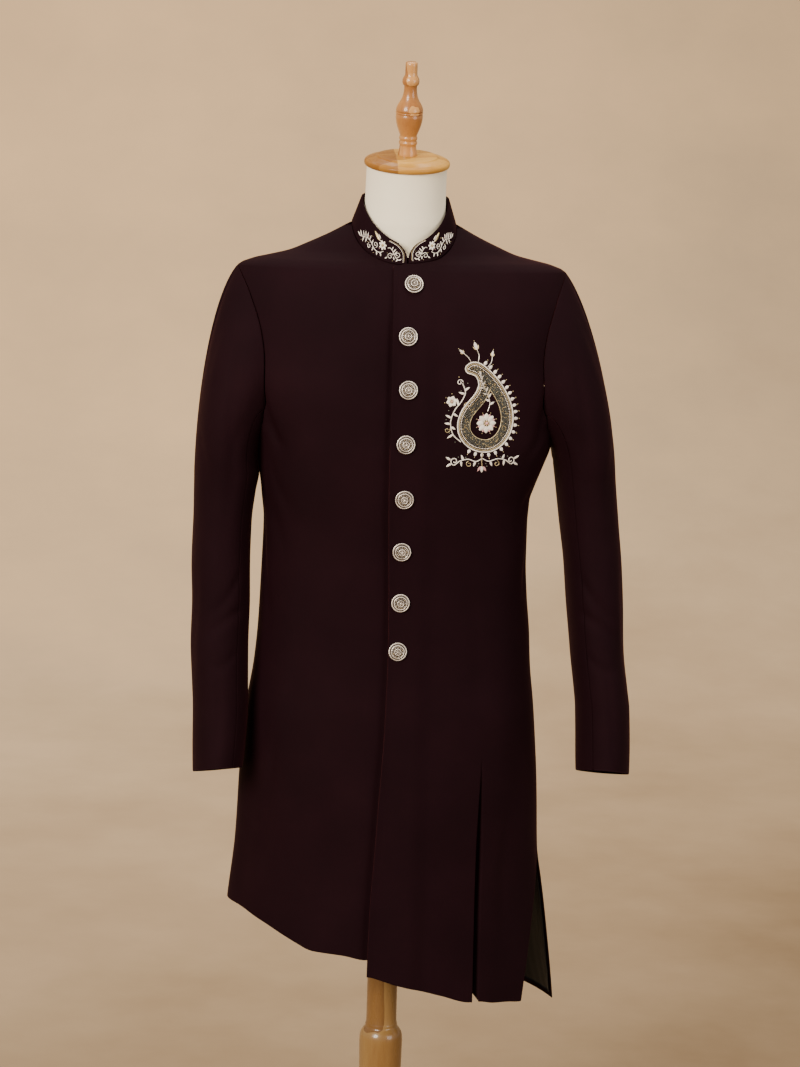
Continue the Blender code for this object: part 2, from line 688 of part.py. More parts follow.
def collar():
    """The stand collar: a band from one front end round the neck to the other."""
    back_turns = math.pi / 2 * (1 + PANEL_COLUMNS)
    half = np.concatenate([COLLAR_END_TURNS, NECK_TURNS, back_turns])
    psi = np.concatenate([-half[:-1], half[::-1]])
    base, normals = neckline(psi)
    ahead = neckline(psi + 0.01)[0] - neckline(psi - 0.01)[0]
    base = base + away_from_panel(base, ahead, normals, np.array([0, 0, 1.6])) * COLLAR_GAP
    base = base + normals * np.where(psi > 0, lap_lift(base[:, 0], base[:, 2]), 0)[:, None]
    top = collar_top(psi)
    from_end = (np.abs(psi) - COLLAR_END_TURNS[0]) * NECK_HALF
    curve = np.clip(COLLAR_CORNER - from_end, 0, COLLAR_CORNER)
    lost = COLLAR_CORNER - np.sqrt(COLLAR_CORNER**2 - curve**2)
    height = 1 - lost / np.linalg.norm(top - base, axis=-1)
    outer = np.array([base + (top - base) * (height * share)[:, None] for share in (1, 0.66, 0.33, 0)])
    around = np.gradient(outer, axis=1)
    up = (top - base)[None]
    normals = unit(np.cross(up + 0 * around, around))
    return outer, outer - normals * COLLAR_THICK


def form_ring(z, angles):
    """One level of the dress form: the inside of the coat, or its neck where that is wider."""
    clear = CLOTH + FORM_CLEAR.at(z, "clear")
    points = skin(angles, z) - skin_normal(angles, z) * clear
    if z < ARM_MIDDLE:
        points[:, 2] = z
    side = FORM_SIDE.at(z, "half")
    points[:, 0] = np.clip(points[:, 0], -side, side)
    if z < NECK_PIT:
        return points
    middle = neck_middle(z)
    bearing = np.arctan2(points[:, 0], middle - points[:, 1])
    reach = np.hypot(points[:, 0], points[:, 1] - middle)
    across = np.sin(bearing) / (FORM_NECK_HALF + FORM_NECK_WIDEN)
    along = np.cos(bearing) / (FORM_NECK_DEPTH + FORM_NECK_WIDEN)
    neck = 1 / np.hypot(across, along)
    height = np.where(neck > reach, z, points[:, 2])
    reach = np.maximum(reach, neck)
    return np.stack([reach * np.sin(bearing), middle - reach * np.cos(bearing), height], axis=-1)


def neck_middle(z):
    """Where the form's neck, which leans forward, has its middle at a height."""
    return -max(z - FORM_NECK_FOOT, 0) * math.tan(NECK_TILT)


def neck_ring(z, bearings, widen):
    """One level of the form's neck, which leans and tilts forward towards its top."""
    share = (z - FORM_NECK_FOOT) / (FORM_NECK_TOP - FORM_NECK_FOOT)
    middle = neck_middle(z)
    x = (FORM_NECK_HALF + widen) * np.sin(bearings)
    y = middle - (FORM_NECK_DEPTH + widen) * np.cos(bearings)
    return np.stack([x, y, z + (y - middle) * math.tan(NECK_TILT * share)], axis=-1)


def dress_form():
    angles = np.radians(np.arange(FORM_COLUMNS) * 360 / FORM_COLUMNS)
    torso = [FORM_BOTTOM, 0.90, 0.98, 1.06, 1.13, 1.18, 1.23, 1.30, 1.37, 1.41, 1.43, 1.445, 1.4545, 1.460,
             1.466, 1.4765, 1.490, 1.499]
    rings = [form_ring(z, angles) for z in torso]
    start = np.unwrap(np.arctan2(rings[-1][:, 0], neck_middle(torso[-1]) - rings[-1][:, 1]))
    for z, widen, even in NECK_RINGS:
        rings.append(neck_ring(z, start + (angles - start) * even, widen))
    return np.array(rings)


def new_material(name, colour, roughness, metallic=0.0):
    material = bpy.data.materials.new(name)
    material.use_nodes = True
    shader = material.node_tree.nodes["Principled BSDF"]
    shader.inputs["Base Color"].default_value = (*colour, 1)
    shader.inputs["Roughness"].default_value = roughness
    shader.inputs["Metallic"].default_value = metallic
    material.diffuse_color = (*colour, 1)
    return material


def place(name, mesh, material, collection):
    built = bpy.data.objects.new(name, mesh)
    mesh.materials.append(material)
    mesh.shade_smooth()
    mesh.set_sharp_from_angle(angle=math.radians(50))
    collection.objects.link(built)
    return built


def add_sheet(name, sheet, material, collection):
    """Builds a cloth piece: its outer and inner surface, joined round their edges."""
    outer, inner = sheet
    rows, columns, _ = outer.shape
    shape = bmesh.new()
    faces = [[[shape.verts.new(point) for point in row] for row in side] for side in (outer, inner)]
    for side in faces:
        for row in range(rows - 1):
            for column in range(columns - 1):
                shape.faces.new((side[row][column], side[row + 1][column], side[row + 1][column + 1],
                                 side[row][column + 1]))
    rim = [(0, column) for column in range(columns)]
    rim += [(row, columns - 1) for row in range(1, rows)]
    rim += [(rows - 1, column) for column in range(columns - 2, -1, -1)]
    rim += [(row, 0) for row in range(rows - 2, 0, -1)]
    for (row, column), (next_row, next_column) in zip(rim, rim[1:] + rim[:1]):
        shape.faces.new((faces[0][row][column], faces[0][next_row][next_column],
                         faces[1][next_row][next_column], faces[1][row][column]))
    return add_solid(name, shape, material, collection)


def add_loft(name, rings, material, collection):
    """Builds a solid through closed rings, with flat ends."""
    shape = bmesh.new()
    levels = [[shape.verts.new(point) for point in ring] for ring in rings]
    for lower, upper in zip(levels, levels[1:]):
        for here in range(len(lower)):
            after = (here + 1) % len(lower)
            shape.faces.new((lower[here], lower[after], upper[after], upper[here]))
    shape.faces.new(levels[0][::-1])
    shape.faces.new(levels[-1])
    return add_solid(name, shape, material, collection)


def add_solid(name, shape, material, collection):
    bmesh.ops.recalc_face_normals(shape, faces=shape.faces)
    mesh = bpy.data.meshes.new(name)
    shape.to_mesh(mesh)
    shape.free()
    return place(name, mesh, material, collection)


def add_turned(name, profile, sides, material, collection):
    """Builds a turned piece from a profile that runs down its outer side."""
    mesh = bpy.data.meshes.new(name)
    points = [(radius, 0, height) for radius, height in profile]
    mesh.from_pydata(points, [(i, i + 1) for i in range(len(points) - 1)], [])
    built = place(name, mesh, material, collection)
    screw = built.modifiers.new("Turn", "SCREW")
    screw.steps = sides
    screw.render_steps = sides
    screw.use_merge_vertices = True
    screw.merge_threshold = 0.0001
    screw.use_smooth_shade = True
    return built


def add_buttons(material, collection):
    """Seats each button flat on the overlap, turned to the cloth's own slope."""
    for number, (z, x) in enumerate(zip(BUTTONS.key[::-1], BUTTONS.columns["x"][::-1]), start=1):
        angle = front_angle(x, z)
        normal = skin_normal(angle, z)
        seat = skin(angle, z) + normal * (PLACKET.at(z, "lap") + folds(angle, z) + BUTTON_GAP)
        button = add_turned(f"button_{number}", BUTTON_DOME, BUTTON_SIDES, material, collection)
        button.location = seat
        button.rotation_euler = (math.acos(normal[2]), 0, math.atan2(normal[0], -normal[1]))


def add_stand(wood, collection):
    top = np.array([0, -(FORM_NECK_TOP - FORM_NECK_FOOT) * math.tan(NECK_TILT), FORM_NECK_TOP])
    up = np.array([0, -math.sin(NECK_TILT), math.cos(NECK_TILT)])
    cap = add_turned("neck_cap", CAP_PROFILE, 32, wood, collection)
    cap.location = top + up * SEAM_GAP
    finial = add_turned("finial", FINIAL, 16, wood, collection)
    finial.location = top + up * (CAP_PROFILE[0][1] + SEAM_GAP)
    for piece in (cap, finial):
        piece.rotation_euler = (NECK_TILT, 0, 0)
    add_turned("pole", POLE_PROFILE, 20, wood, collection)
    add_turned("base", BASE_PROFILE, 40, wood, collection)


def main():
    for item in list(bpy.data.objects):
        bpy.data.objects.remove(item, do_unlink=True)
    collection = bpy.data.collections.new("sherwani_coat_on_dress_form")
    bpy.context.scene.collection.children.link(collection)

    suiting = new_material("suiting", (0.016, 0.0045, 0.0055), 0.85)
    satin = new_material("satin_lining", (0.012, 0.016, 0.035), 0.4)
    silver_metal = new_material("silver_metal", (0.52, 0.48, 0.40), 0.35, 0.8)
    form_cloth = new_material("form_cloth", (0.72, 0.66, 0.55), 0.9)
    wood = new_material("wood", (0.55, 0.33, 0.15), 0.4)

    add_sheet("front_left", front_left(), suiting, collection)
    add_sheet("front_right", front_right(), suiting, collection)
    add_sheet("back_left", back(1), suiting, collection)
    add_sheet("back_right", back(-1), suiting, collection)
    add_sheet("lining_vent", lining_vent(), satin, collection)
    for side, word in ((1, "left"), (-1, "right")):
        top_columns = round((2 * math.pi - UNDER_TO + UNDER_FROM) / (2 * math.pi) * SLEEVE_COLUMNS)
        under_columns = SLEEVE_COLUMNS - top_columns
        top = sleeve(side, UNDER_TO - 2 * math.pi, UNDER_FROM, top_columns)
        under = sleeve(side, UNDER_FROM, UNDER_TO, under_columns)
        add_sheet(f"sleeve_{word}_top", top, suiting, collection)
        add_sheet(f"sleeve_{word}_under", under, suiting, collection)
    add_sheet("collar", collar(), suiting, collection)
    add_buttons(silver_metal, collection)
    add_loft("dress_form", dress_form(), form_cloth, collection)
    add_stand(wood, collection)


main()
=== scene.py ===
"""Looks of a men's sherwani coat buttoned on a limbless dress form with a turned wooden stand.

Metres, +Z up. The origin is on the floor under the pole, the coat's front faces -Y, and the
wearer's left is +X. Every cloth piece is a thin shell on the same surfaces as its solid, with
its creases given one by one. Embroidery, beads and the buttons' cords are meshes of their own.
"""

import math
import random

import bpy
import numpy as np
from mathutils import Matrix, Vector


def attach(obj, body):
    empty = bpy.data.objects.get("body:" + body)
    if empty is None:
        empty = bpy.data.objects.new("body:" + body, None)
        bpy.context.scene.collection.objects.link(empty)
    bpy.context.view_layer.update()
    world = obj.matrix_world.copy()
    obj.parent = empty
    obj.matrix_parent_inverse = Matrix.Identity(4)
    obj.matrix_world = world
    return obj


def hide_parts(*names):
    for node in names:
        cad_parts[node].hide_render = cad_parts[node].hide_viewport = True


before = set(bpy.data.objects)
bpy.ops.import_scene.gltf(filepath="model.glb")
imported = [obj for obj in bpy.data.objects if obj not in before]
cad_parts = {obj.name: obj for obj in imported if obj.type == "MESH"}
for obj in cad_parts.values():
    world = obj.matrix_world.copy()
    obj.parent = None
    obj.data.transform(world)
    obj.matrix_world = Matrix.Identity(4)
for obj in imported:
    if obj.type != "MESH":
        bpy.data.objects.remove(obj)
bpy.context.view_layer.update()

CLOTH = 0.0020
EDGE_ROUND = 0.00045
SEAM_GAP = 0.0003
HALF_SEAM = SEAM_GAP / 2

# Heights of the coat's landmarks
NECK_PIT = 1.4530
LAP_TOP = 1.4495
NECK_SIDE = 1.5060
VENT_TOP = 0.6430
PLEAT_TOP = 0.7850

# Mean heights of the slanted hems, at which a panel's lower rows are aimed
LEFT_HEM = 0.4550
RIGHT_HEM = 0.5400
BACK_HEM = 0.4500

# The armhole is an ellipse laid on the body surface round its side line
ARM_MIDDLE = 1.3250
ARM_HALF = 0.1200
ARM_SPREAD_FRONT = math.radians(35)
ARM_SPREAD_BACK = math.radians(32)

# Neckline and collar
NECK_HALF = 0.0715
NECK_RISE_POWER = 1.15
COLLAR_THICK = 0.0023
COLLAR_TOP_HALF = 0.0590
COLLAR_TOP_FRONT = 0.0580
COLLAR_TOP_BACK = 0.0570
COLLAR_TOP_MIDDLE = -0.0120
COLLAR_TOP_PIT = 1.4800
COLLAR_TOP_SIDE = 1.5410
COLLAR_TOP_RISE = 0.0090
COLLAR_TOP_POWER = 0.83
COLLAR_GAP = 0.0007
COLLAR_CORNER = 0.0205
COLLAR_END = math.radians(0.6)
TAPE_HALF = 0.0055
TAPE_THICK = 0.0003
TAPE_UNDER = 0.0004
TAPE_EDGE_ROUND = 0.0001
OVER_NECK = np.array([0, 0, 1.6])

# Front overlap
UNDERLAP = 0.0220
LAP_FLAT_TO = 0.0200
LAP_FADES_AT = 0.0480
# The overlap's edge curls up a little, and the front beside it sinks: depth, place, width
EDGE_CURL = 0.0014
EDGE_CURL_WIDTH = 0.0045
EDGE_CURL_TOP = 1.452
PLACKET_HOLLOWS = ((0.0012, -0.0075, 0.0085), (0.0036, 0.0, 0.0042))
PLACKET_HOLLOW_TOP = 1.42

# Inverted pleat in the wearer's left front
PLEAT_X = 0.1185
PLEAT_MOUTH = 0.0095
PLEAT_MOUTH_CLOSED = 0.0030
PLEAT_HEM_RISE = 0.0080
PLEAT_LINE_SHARE = 0.008
PLEAT_CLOSES_OVER = 0.060
PLEAT_INSIDE = np.array([0.12, 0.3, 0.5, 0.7, 0.88])
PLEAT_SHAPE = np.array([0.55, 0.96, 1.0, 0.96, 0.55])

# Open side vent at the wearer's left
VENT_FRONT_SWING = math.radians(34)
VENT_FRONT_POWER = 0.48
VENT_BACK_SWING = math.radians(10)
VENT_FLARE = 0.0180
VENT_FLARE_FULL_AT = 0.4000
VENT_FLARE_FADES_FROM = 118
VENT_FLARE_FADES_OVER = 45
BACK_HEM_MIDDLE = 0.4840
BACK_HEM_SLOPE = 0.3617
LINING_THICK = 0.0010
LINING_GAP = 0.0009
LINING_TO_HEM = 0.965
LINING_ACROSS = (0.375, 0.985)
LINING_EASE = 0.0006
LINING_EDGE_ROUND = 0.0002

# Dress form and stand
FORM_SIDES = 96
FORM_BOTTOM = 0.8300
NECK_TILT = math.radians(12)
FORM_NECK_HALF = 0.0540
FORM_NECK_DEPTH = 0.0520
FORM_NECK_FOOT = 1.4800
FORM_NECK_TOP = 1.5830
FORM_NECK_WIDEN = 0.0028
NECK_RINGS = ((1.5050, 0.0026, 0.0), (1.5140, 0.0018, 0.3), (1.5300, 0.0007, 0.65), (1.5550, 0.0, 1.0),
              (FORM_NECK_TOP, 0.0, 1.0))


class Table:
    """Rows of named columns, read along a smooth curve that never overshoots its rows."""

    def __init__(self, names, *rows):
        self.columns = dict(zip(names.split(), np.array(rows, float).T))
        self.key = self.columns[names.split()[0]]
        self.slopes = {name: self.slope(values) for name, values in self.columns.items()}

    def slope(self, values):
        rise = np.diff(values) / np.diff(self.key)
        slopes = np.empty(len(values))
        slopes[0] = rise[0]
        slopes[-1] = rise[-1]
        same = rise[:-1] * rise[1:] > 0
        total = np.where(same, rise[:-1] + rise[1:], 1)
        slopes[1:-1] = np.where(same, 2 * rise[:-1] * rise[1:] / total, 0)
        return slopes

    def at(self, key, name):
        values = self.columns[name]
        slopes = self.slopes[name]
        key = np.clip(key, self.key[0], self.key[-1])
        low = np.clip(np.searchsorted(self.key, key, side="right") - 1, 0, len(self.key) - 2)
        width = self.key[low + 1] - self.key[low]
        t = (key - self.key[low]) / width
        start = (1 + 2 * t) * (1 - t) ** 2 * values[low] + t * (1 - t) ** 2 * width * slopes[low]
        end = t * t * (3 - 2 * t) * values[low + 1] + t * t * (t - 1) * width * slopes[low + 1]
        return start + end


# Horizontal sections of the coat: reach to the wearer's left and right, depth to the front and
# to the back, roundness
BODY = Table(
    "z      left    right   front   back    power",
    (0.3800, 0.2380, 0.2380, 0.1520, 0.1400, 1.8),
    (0.4500, 0.2320, 0.2320, 0.1480, 0.1360, 1.8),
    (0.5600, 0.2225, 0.2225, 0.1410, 0.1310, 1.8),
    (0.6430, 0.2135, 0.2135, 0.1350, 0.1270, 1.9),
    (0.7000, 0.2105, 0.2105, 0.1320, 0.1250, 2.0),
    (0.7500, 0.2080, 0.2080, 0.1290, 0.1230, 2.1),
    (0.8000, 0.2040, 0.2040, 0.1260, 0.1215, 2.2),
    (0.8500, 0.1990, 0.1990, 0.1230, 0.1200, 2.3),
    (0.9000, 0.1930, 0.1915, 0.1190, 0.1160, 2.3),
    (0.9500, 0.1895, 0.1870, 0.1165, 0.1100, 2.3),
    (1.0000, 0.1845, 0.1845, 0.1160, 0.1040, 2.3),
    (1.0500, 0.1820, 0.1830, 0.1170, 0.1000, 2.3),
    (1.1000, 0.1820, 0.1820, 0.1200, 0.0990, 2.3),
    (1.1320, 0.1835, 0.1850, 0.1232, 0.1006, 2.3),
    (1.1500, 0.1893, 0.1868, 0.1250, 0.1020, 2.3),
    (1.1650, 0.1950, 0.1890, 0.1262, 0.1035, 2.3),
    (1.1800, 0.2008, 0.1903, 0.1275, 0.1053, 2.3),
    (1.2050, 0.2100, 0.1935, 0.1290, 0.1080, 2.3),
    (1.2540, 0.2190, 0.2110, 0.1290, 0.1150, 2.2),
    (1.2880, 0.2235, 0.2200, 0.1270, 0.1190, 2.2),
    (1.3250, 0.2268, 0.2260, 0.1230, 0.1210, 2.1),
    (1.3620, 0.2290, 0.2290, 0.1170, 0.1200, 2.05),
    (1.3950, 0.2300, 0.2300, 0.1090, 0.1160, 2.0),
    (1.4220, 0.2280, 0.2280, 0.0990, 0.1110, 1.9),
    (1.4450, 0.2230, 0.2230, 0.0870, 0.1040, 1.8),
    (1.4545, 0.2020, 0.2020, 0.0780, 0.1000, 1.75),
    (1.4600, 0.1790, 0.1790, 0.0690, 0.0960, 1.7),
    (1.4660, 0.1550, 0.1550, 0.0610, 0.0925, 1.7),
    (1.4765, 0.1300, 0.1300, 0.0520, 0.0855, 1.7),
    (1.4905, 0.1000, 0.1000, 0.0390, 0.0750, 1.75),
    (1.4980, 0.0860, 0.0860, 0.0270, 0.0690, 1.85),
    (1.5060, 0.0716, 0.0716, 0.0140, 0.0610, 2.0),
)

# The wearer's left front's free edge, and how far it stands proud of the right front
PLACKET = Table(
    "z      edge     lap",
    (0.3800, -0.0350, 0.0060),
    (0.5150, -0.0330, 0.0060),
    (0.7370, -0.0230, 0.0050),
    (0.8190, -0.0182, 0.0042),
    (0.9400, -0.0154, 0.0036),
    (1.2130, -0.0214, 0.0034),
    (1.4530, -0.0200, 0.0032),
)

PLEAT = Table(
    "z      depth",
    (0.3800, 0.0300),
    (0.5600, 0.0240),
    (0.6600, 0.0140),
    (0.7400, 0.0050),
    (0.7850, 0.0),
)

# Front hem heights round the body: short at the wearer's right, long at the left
HEM_RIGHT = Table(
    "degrees z",
    (-90, 0.5620),
    (-80, 0.5614),
    (-74, 0.5608),
    (-67, 0.5590),
    (-53.5, 0.5495),
    (-42.2, 0.5358),
    (-35.7, 0.5267),
    (-32.6, 0.5222),
    (-30.0, 0.5206),
    (-24, 0.5194),
    (-19, 0.5182),
    (-11, 0.5133),
    (17, 0.5120),
)
HEM_LEFT = Table(
    "degrees z",
    (-19, 0.4960),
    (-10, 0.4926),
    (-1, 0.4838),
    (10, 0.4739),
    (19.4, 0.4630),
    (31.2, 0.4484),
    (34.3, 0.4478),
    (41, 0.4420),
    (48, 0.4384),
    (57, 0.4335),
    (90, 0.4330),
)

# Largest folds of the coat: where each runs, how wide and how deep it is; degrees go with
# the body surface's angle, and a negative depth is a trough
FOLDS = (
    dict(top=(1.08, 62), bottom=(0.52, 50), width=9, depth=-0.0030),
    dict(top=(0.98, -58), bottom=(0.58, -70), width=10, depth=-0.0035),
    dict(top=(0.90, -30), bottom=(0.50, -34), width=12, depth=0.0025),
    dict(top=(0.86, 12), bottom=(0.44, 16), width=10, depth=0.0025),
    dict(top=(0.98, 118), bottom=(0.42, 126), width=10, depth=-0.0040),
    dict(top=(0.94, 146), bottom=(0.44, 150), width=9, depth=0.0040),
    dict(top=(0.96, -122), bottom=(0.54, -130), width=10, depth=-0.0040),
    dict(top=(0.94, -150), bottom=(0.50, -152), width=9, depth=0.0040),
)

BUTTONS = Table(
    "z      x",
    (0.9385, -0.0025),
    (1.0048, -0.0005),
    (1.0748, -0.0010),
    (1.1463, 0.0000),
    (1.2199, -0.0005),
    (1.2915, 0.0010),
    (1.3607, -0.0005),
    (1.4275, 0.0070),
)

# Horizontal sections of each sleeve below its cap; x is outward from the centre
SLEEVE_LEFT = Table(
    "z      x       half    y        depth",
    (0.7450, 0.2925, 0.0366, -0.0620, 0.0575),
    (0.7890, 0.2925, 0.0375, -0.0530, 0.0585),
    (0.8460, 0.2915, 0.0373, -0.0420, 0.0595),
    (0.8720, 0.2890, 0.0370, -0.0370, 0.0600),
    (0.9230, 0.2835, 0.0370, -0.0260, 0.0610),
    (0.9910, 0.2790, 0.0388, -0.0140, 0.0640),
    (1.0470, 0.2747, 0.0397, -0.0060, 0.0670),
    (1.1030, 0.2680, 0.0407, 0.0000, 0.0700),
    (1.1600, 0.2610, 0.0414, 0.0010, 0.0740),
    (1.1800, 0.2585, 0.0420, 0.0000, 0.0760),
)
SLEEVE_RIGHT = Table(
    "z      x       half    y        depth",
    (0.7450, 0.2410, 0.0325, -0.0620, 0.0575),
    (0.7900, 0.2385, 0.0360, -0.0530, 0.0585),
    (0.8490, 0.2370, 0.0380, -0.0410, 0.0595),
    (0.8760, 0.2380, 0.0385, -0.0360, 0.0600),
    (0.9310, 0.2395, 0.0396, -0.0250, 0.0615),
    (0.9850, 0.2383, 0.0397, -0.0150, 0.0640),
    (1.0390, 0.2393, 0.0402, -0.0070, 0.0670),
    (1.0950, 0.2380, 0.0401, -0.0010, 0.0695),
    (1.1390, 0.2354, 0.0424, 0.0010, 0.0720),
    (1.1640, 0.2336, 0.0442, 0.0008, 0.0745),
    (1.1800, 0.2341, 0.0433, 0.0000, 0.0760),
)
# How round the sleeves are: fuller at the top, pressed flat at the cuff
SLEEVE_POWER = Table(
    "z      power",
    (0.7450, 1.75),
    (0.8000, 1.85),
    (0.9000, 2.0),
    (1.0300, 2.2),
    (1.1800, 2.2),
)
SLEEVE_RING = 1.1800
CUFF = 0.7585
# The cuff is cut square to the arm: it rises towards the front and drops a little outwards
CUFF_RISE = 0.256
CUFF_DROP = 0.080
CUFF_FROM = 0.9200
UNDER_FROM = math.radians(126)
UNDER_TO = math.radians(252)
SLEEVE_TRIM = math.radians(0.16)
# The right sleeve lies closer to the body, most of all at its cap
SNUG_LIFT = 0.0008
SNUG_LIFT_AT_CAP = 0.0056

# The form keeps clear of the coat: close under the shoulders, where the cloth rests on it
FORM_CLEAR = Table(
    "z      clear",
    (0.8300, 0.0080),
    (1.3200, 0.0060),
    (1.4100, 0.0030),
    (1.4450, 0.0009),
    (1.4560, 0.0011),
    (1.4680, 0.0024),
    (1.5060, 0.0026),
)
# Its sides are cut flat inside the armholes
FORM_SIDE = Table(
    "z      half",
    (0.8300, 0.2500),
    (1.1700, 0.2000),
    (1.2300, 0.1800),
    (1.2880, 0.1770),
    (1.3620, 0.1800),
    (1.4050, 0.1880),
    (1.4300, 0.2020),
    (1.4450, 0.2190),
    (1.5060, 0.2190),
)


def smooth_step(value):
    value = np.clip(value, 0, 1)
    return value * value * (3 - 2 * value)


def unit(vectors):
    return vectors / np.maximum(np.linalg.norm(vectors, axis=-1, keepdims=True), 1e-12)


def skin(angle, z):
    """Points of the coat's outer surface. Angle 0 is the front, +90 degrees the wearer's left."""
    angle, z = np.broadcast_arrays(np.asarray(angle, float), np.asarray(z, float))
    across = np.sin(angle)
    along = np.cos(angle)
    power = 2 / BODY.at(z, "power")
    depth = np.where(along >= 0, BODY.at(z, "front"), BODY.at(z, "back"))
    x = side_reach(across, z) * np.sign(across) * np.abs(across) ** power
    y = -depth * np.sign(along) * np.abs(along) ** power
    return np.stack([x, y, z], axis=-1)


def side_reach(side, z):
    return np.where(side >= 0, BODY.at(z, "left"), BODY.at(z, "right"))


def skin_normal(angle, z):
    turn = 0.01
    rise = 0.002
    across = skin(angle + turn, z) - skin(angle - turn, z)
    up = skin(angle, z + rise) - skin(angle, z - rise)
    return unit(np.cross(across, up))


def front_angle(x, z):
    """The angle at which the front of the body surface has that x."""
    share = np.clip(np.abs(x) / side_reach(x, z), 0, 1)
    return np.sign(x) * np.arcsin(share ** (BODY.at(z, "power") / 2))


def folds(angle, z):
    """How far the largest folds lift the surface."""
    lift = np.zeros(np.broadcast(angle, z).shape)
    for fold in FOLDS:
        (top, top_degrees), (bottom, bottom_degrees) = fold["top"], fold["bottom"]
        down = (top - z) / (top - bottom)
        middle = np.radians(top_degrees + (bottom_degrees - top_degrees) * down)
        beside = (angle - middle + math.pi) % (2 * math.pi) - math.pi
        across = np.exp(-((beside / math.radians(fold["width"])) ** 2))
        lift = lift + fold["depth"] * smooth_step(down) * across
    return lift


def creases(marks, across, z):
    """Soft uneven troughs and ridges, each along its own bowed line."""
    lift = np.zeros(np.broadcast(across, z).shape)
    for start_across, start_z, end_across, end_z, width, depth, bow in marks:
        run = np.array([end_across - start_across, end_z - start_z])
        length = float(np.hypot(*run))
        along = ((across - start_across) * run[0] + (z - start_z) * run[1]) / length**2
        beside = ((across - start_across) * run[1] - (z - start_z) * run[0]) / length
        beside = beside - bow * np.sin(math.pi * np.clip(along, 0, 1))
        fade = smooth_step((along + 0.12) / 0.4) * smooth_step((1.12 - along) / 0.4)
        spread = width * (0.75 + 0.5 * np.clip(along, 0, 1))
        lift = lift + depth * fade * np.exp(-((beside / spread) ** 2))
    return lift


# Creases of the body: degrees and height where each starts and ends, width, depth, bow.
# Degrees are read at 3.5 mm each.
DEGREE = 0.0035
BODY_CREASES = (
    (-72, 1.270, -52, 1.205, 0.0080, -0.0022, 0.004),
    (-60, 1.335, -58, 1.205, 0.0090, -0.0050, 0.003),
    (-66, 1.180, -50, 1.120, 0.0110, -0.0016, 0.005),
    (-80, 1.150, -55, 1.060, 0.0130, -0.0016, -0.006),
    (-84, 1.100, -66, 0.960, 0.0120, -0.0020, 0.004),
    (60, 1.330, 57, 1.215, 0.0085, -0.0046, -0.003),
    (72, 1.250, 50, 1.195, 0.0080, -0.0020, 0.004),
    (80, 1.160, 58, 1.090, 0.0120, -0.0018, 0.006),
    (84, 1.110, 70, 1.000, 0.0110, -0.0018, -0.004),
    (-38, 1.020, -44, 0.820, 0.0150, -0.0012, 0.004),
    (26, 1.050, 34, 0.860, 0.0150, -0.0012, -0.004),
    (-22, 0.760, -26, 0.560, 0.0160, -0.0016, 0.006),
    (-52, 0.800, -60, 0.600, 0.0130, -0.0018, -0.005),
    (50, 0.700, 47, 0.500, 0.0120, -0.0015, 0.003),
    (96, 1.290, 118, 1.200, 0.0090, -0.0024, 0.004),
    (-96, 1.290, -118, 1.200, 0.0090, -0.0024, -0.004),
    (104, 1.360, 112, 1.230, 0.0100, -0.0022, 0.003),
    (-104, 1.360, -112, 1.230, 0.0100, -0.0022, -0.003),
    (100, 1.140, 130, 1.060, 0.0120, -0.0020, 0.005),
    (-100, 1.130, -132, 1.050, 0.0120, -0.0020, -0.005),
    (136, 1.110, 168, 1.080, 0.0130, -0.0014, 0.004),
    (-136, 1.090, -166, 1.070, 0.0130, -0.0014, -0.004),
    (150, 1.420, 172, 1.360, 0.0130, -0.0012, 0.004),
    (-150, 1.420, -172, 1.350, 0.0130, -0.0012, -0.004),
    (160, 0.900, 156, 0.600, 0.0150, -0.0016, 0.004),
    (-104, 0.800, -108, 0.560, 0.0140, -0.0018, 0.005),
)


def body_lift(angle, z):
    """The folds and creases of the coat's body together."""
    across = np.degrees(angle) * DEGREE
    marks = [(a * DEGREE, b, c * DEGREE, d, *rest) for a, b, c, d, *rest in BODY_CREASES]
    waver = 0.0004 * np.sin(across * 41 + 3.1 * np.sin(z * 9)) * np.sin(z * 17 + across * 13)
    return folds(angle, z) + creases(marks, across, z) + waver


def neckline_height(psi):
    return NECK_PIT + (NECK_SIDE - NECK_PIT) * np.clip(1 - np.cos(psi), 0, 1) ** NECK_RISE_POWER


def neckline_x(z):
    """Half width of the neckline at a height between its pit and its side."""
    rise = np.clip((z - NECK_PIT) / (NECK_SIDE - NECK_PIT), 0, 1)
    cosine = 1 - rise ** (1 / NECK_RISE_POWER)
    return NECK_HALF * np.sqrt(1 - cosine**2)


def side_angle(z, spread):
    """Where a panel ends: at the side line, or at the armhole within its height."""
    share = (z - ARM_MIDDLE) / ARM_HALF
    return math.pi / 2 - spread * np.sqrt(np.clip(1 - share**2, 0, 1))


def spread_out(count, first=(0, 0.005, 0.014), last=(0.986, 0.995, 1)):
    """Shares across a panel, with two rows of support close to each edge."""
    middle = np.linspace(first[-1], last[0], count + 2)[1:-1]
    return np.concatenate([first, middle, last])


def panel_rows():
    """Rows of a panel from its neck to its hem: heights, and fractions down to the hem."""
    neck = neckline_height(np.radians(np.linspace(87, 6, 26)))
    hole = ARM_MIDDLE + ARM_HALF * np.cos(np.linspace(0, math.pi, 46))
    body = np.linspace(ARM_MIDDLE - ARM_HALF, VENT_TOP, 96)[1:]
    fractions = np.concatenate([np.linspace(0, 0.97, 44)[1:], [0.985, 0.994, 1.0]])
    heights = np.concatenate([neck, [NECK_PIT, LAP_TOP], hole, body])
    top = np.concatenate([heights, np.full(len(fractions), VENT_TOP)])
    return top, np.concatenate([np.zeros(len(heights)), fractions])


def drop_to_hem(z, fraction, hem):
    return z + (hem - z) * fraction


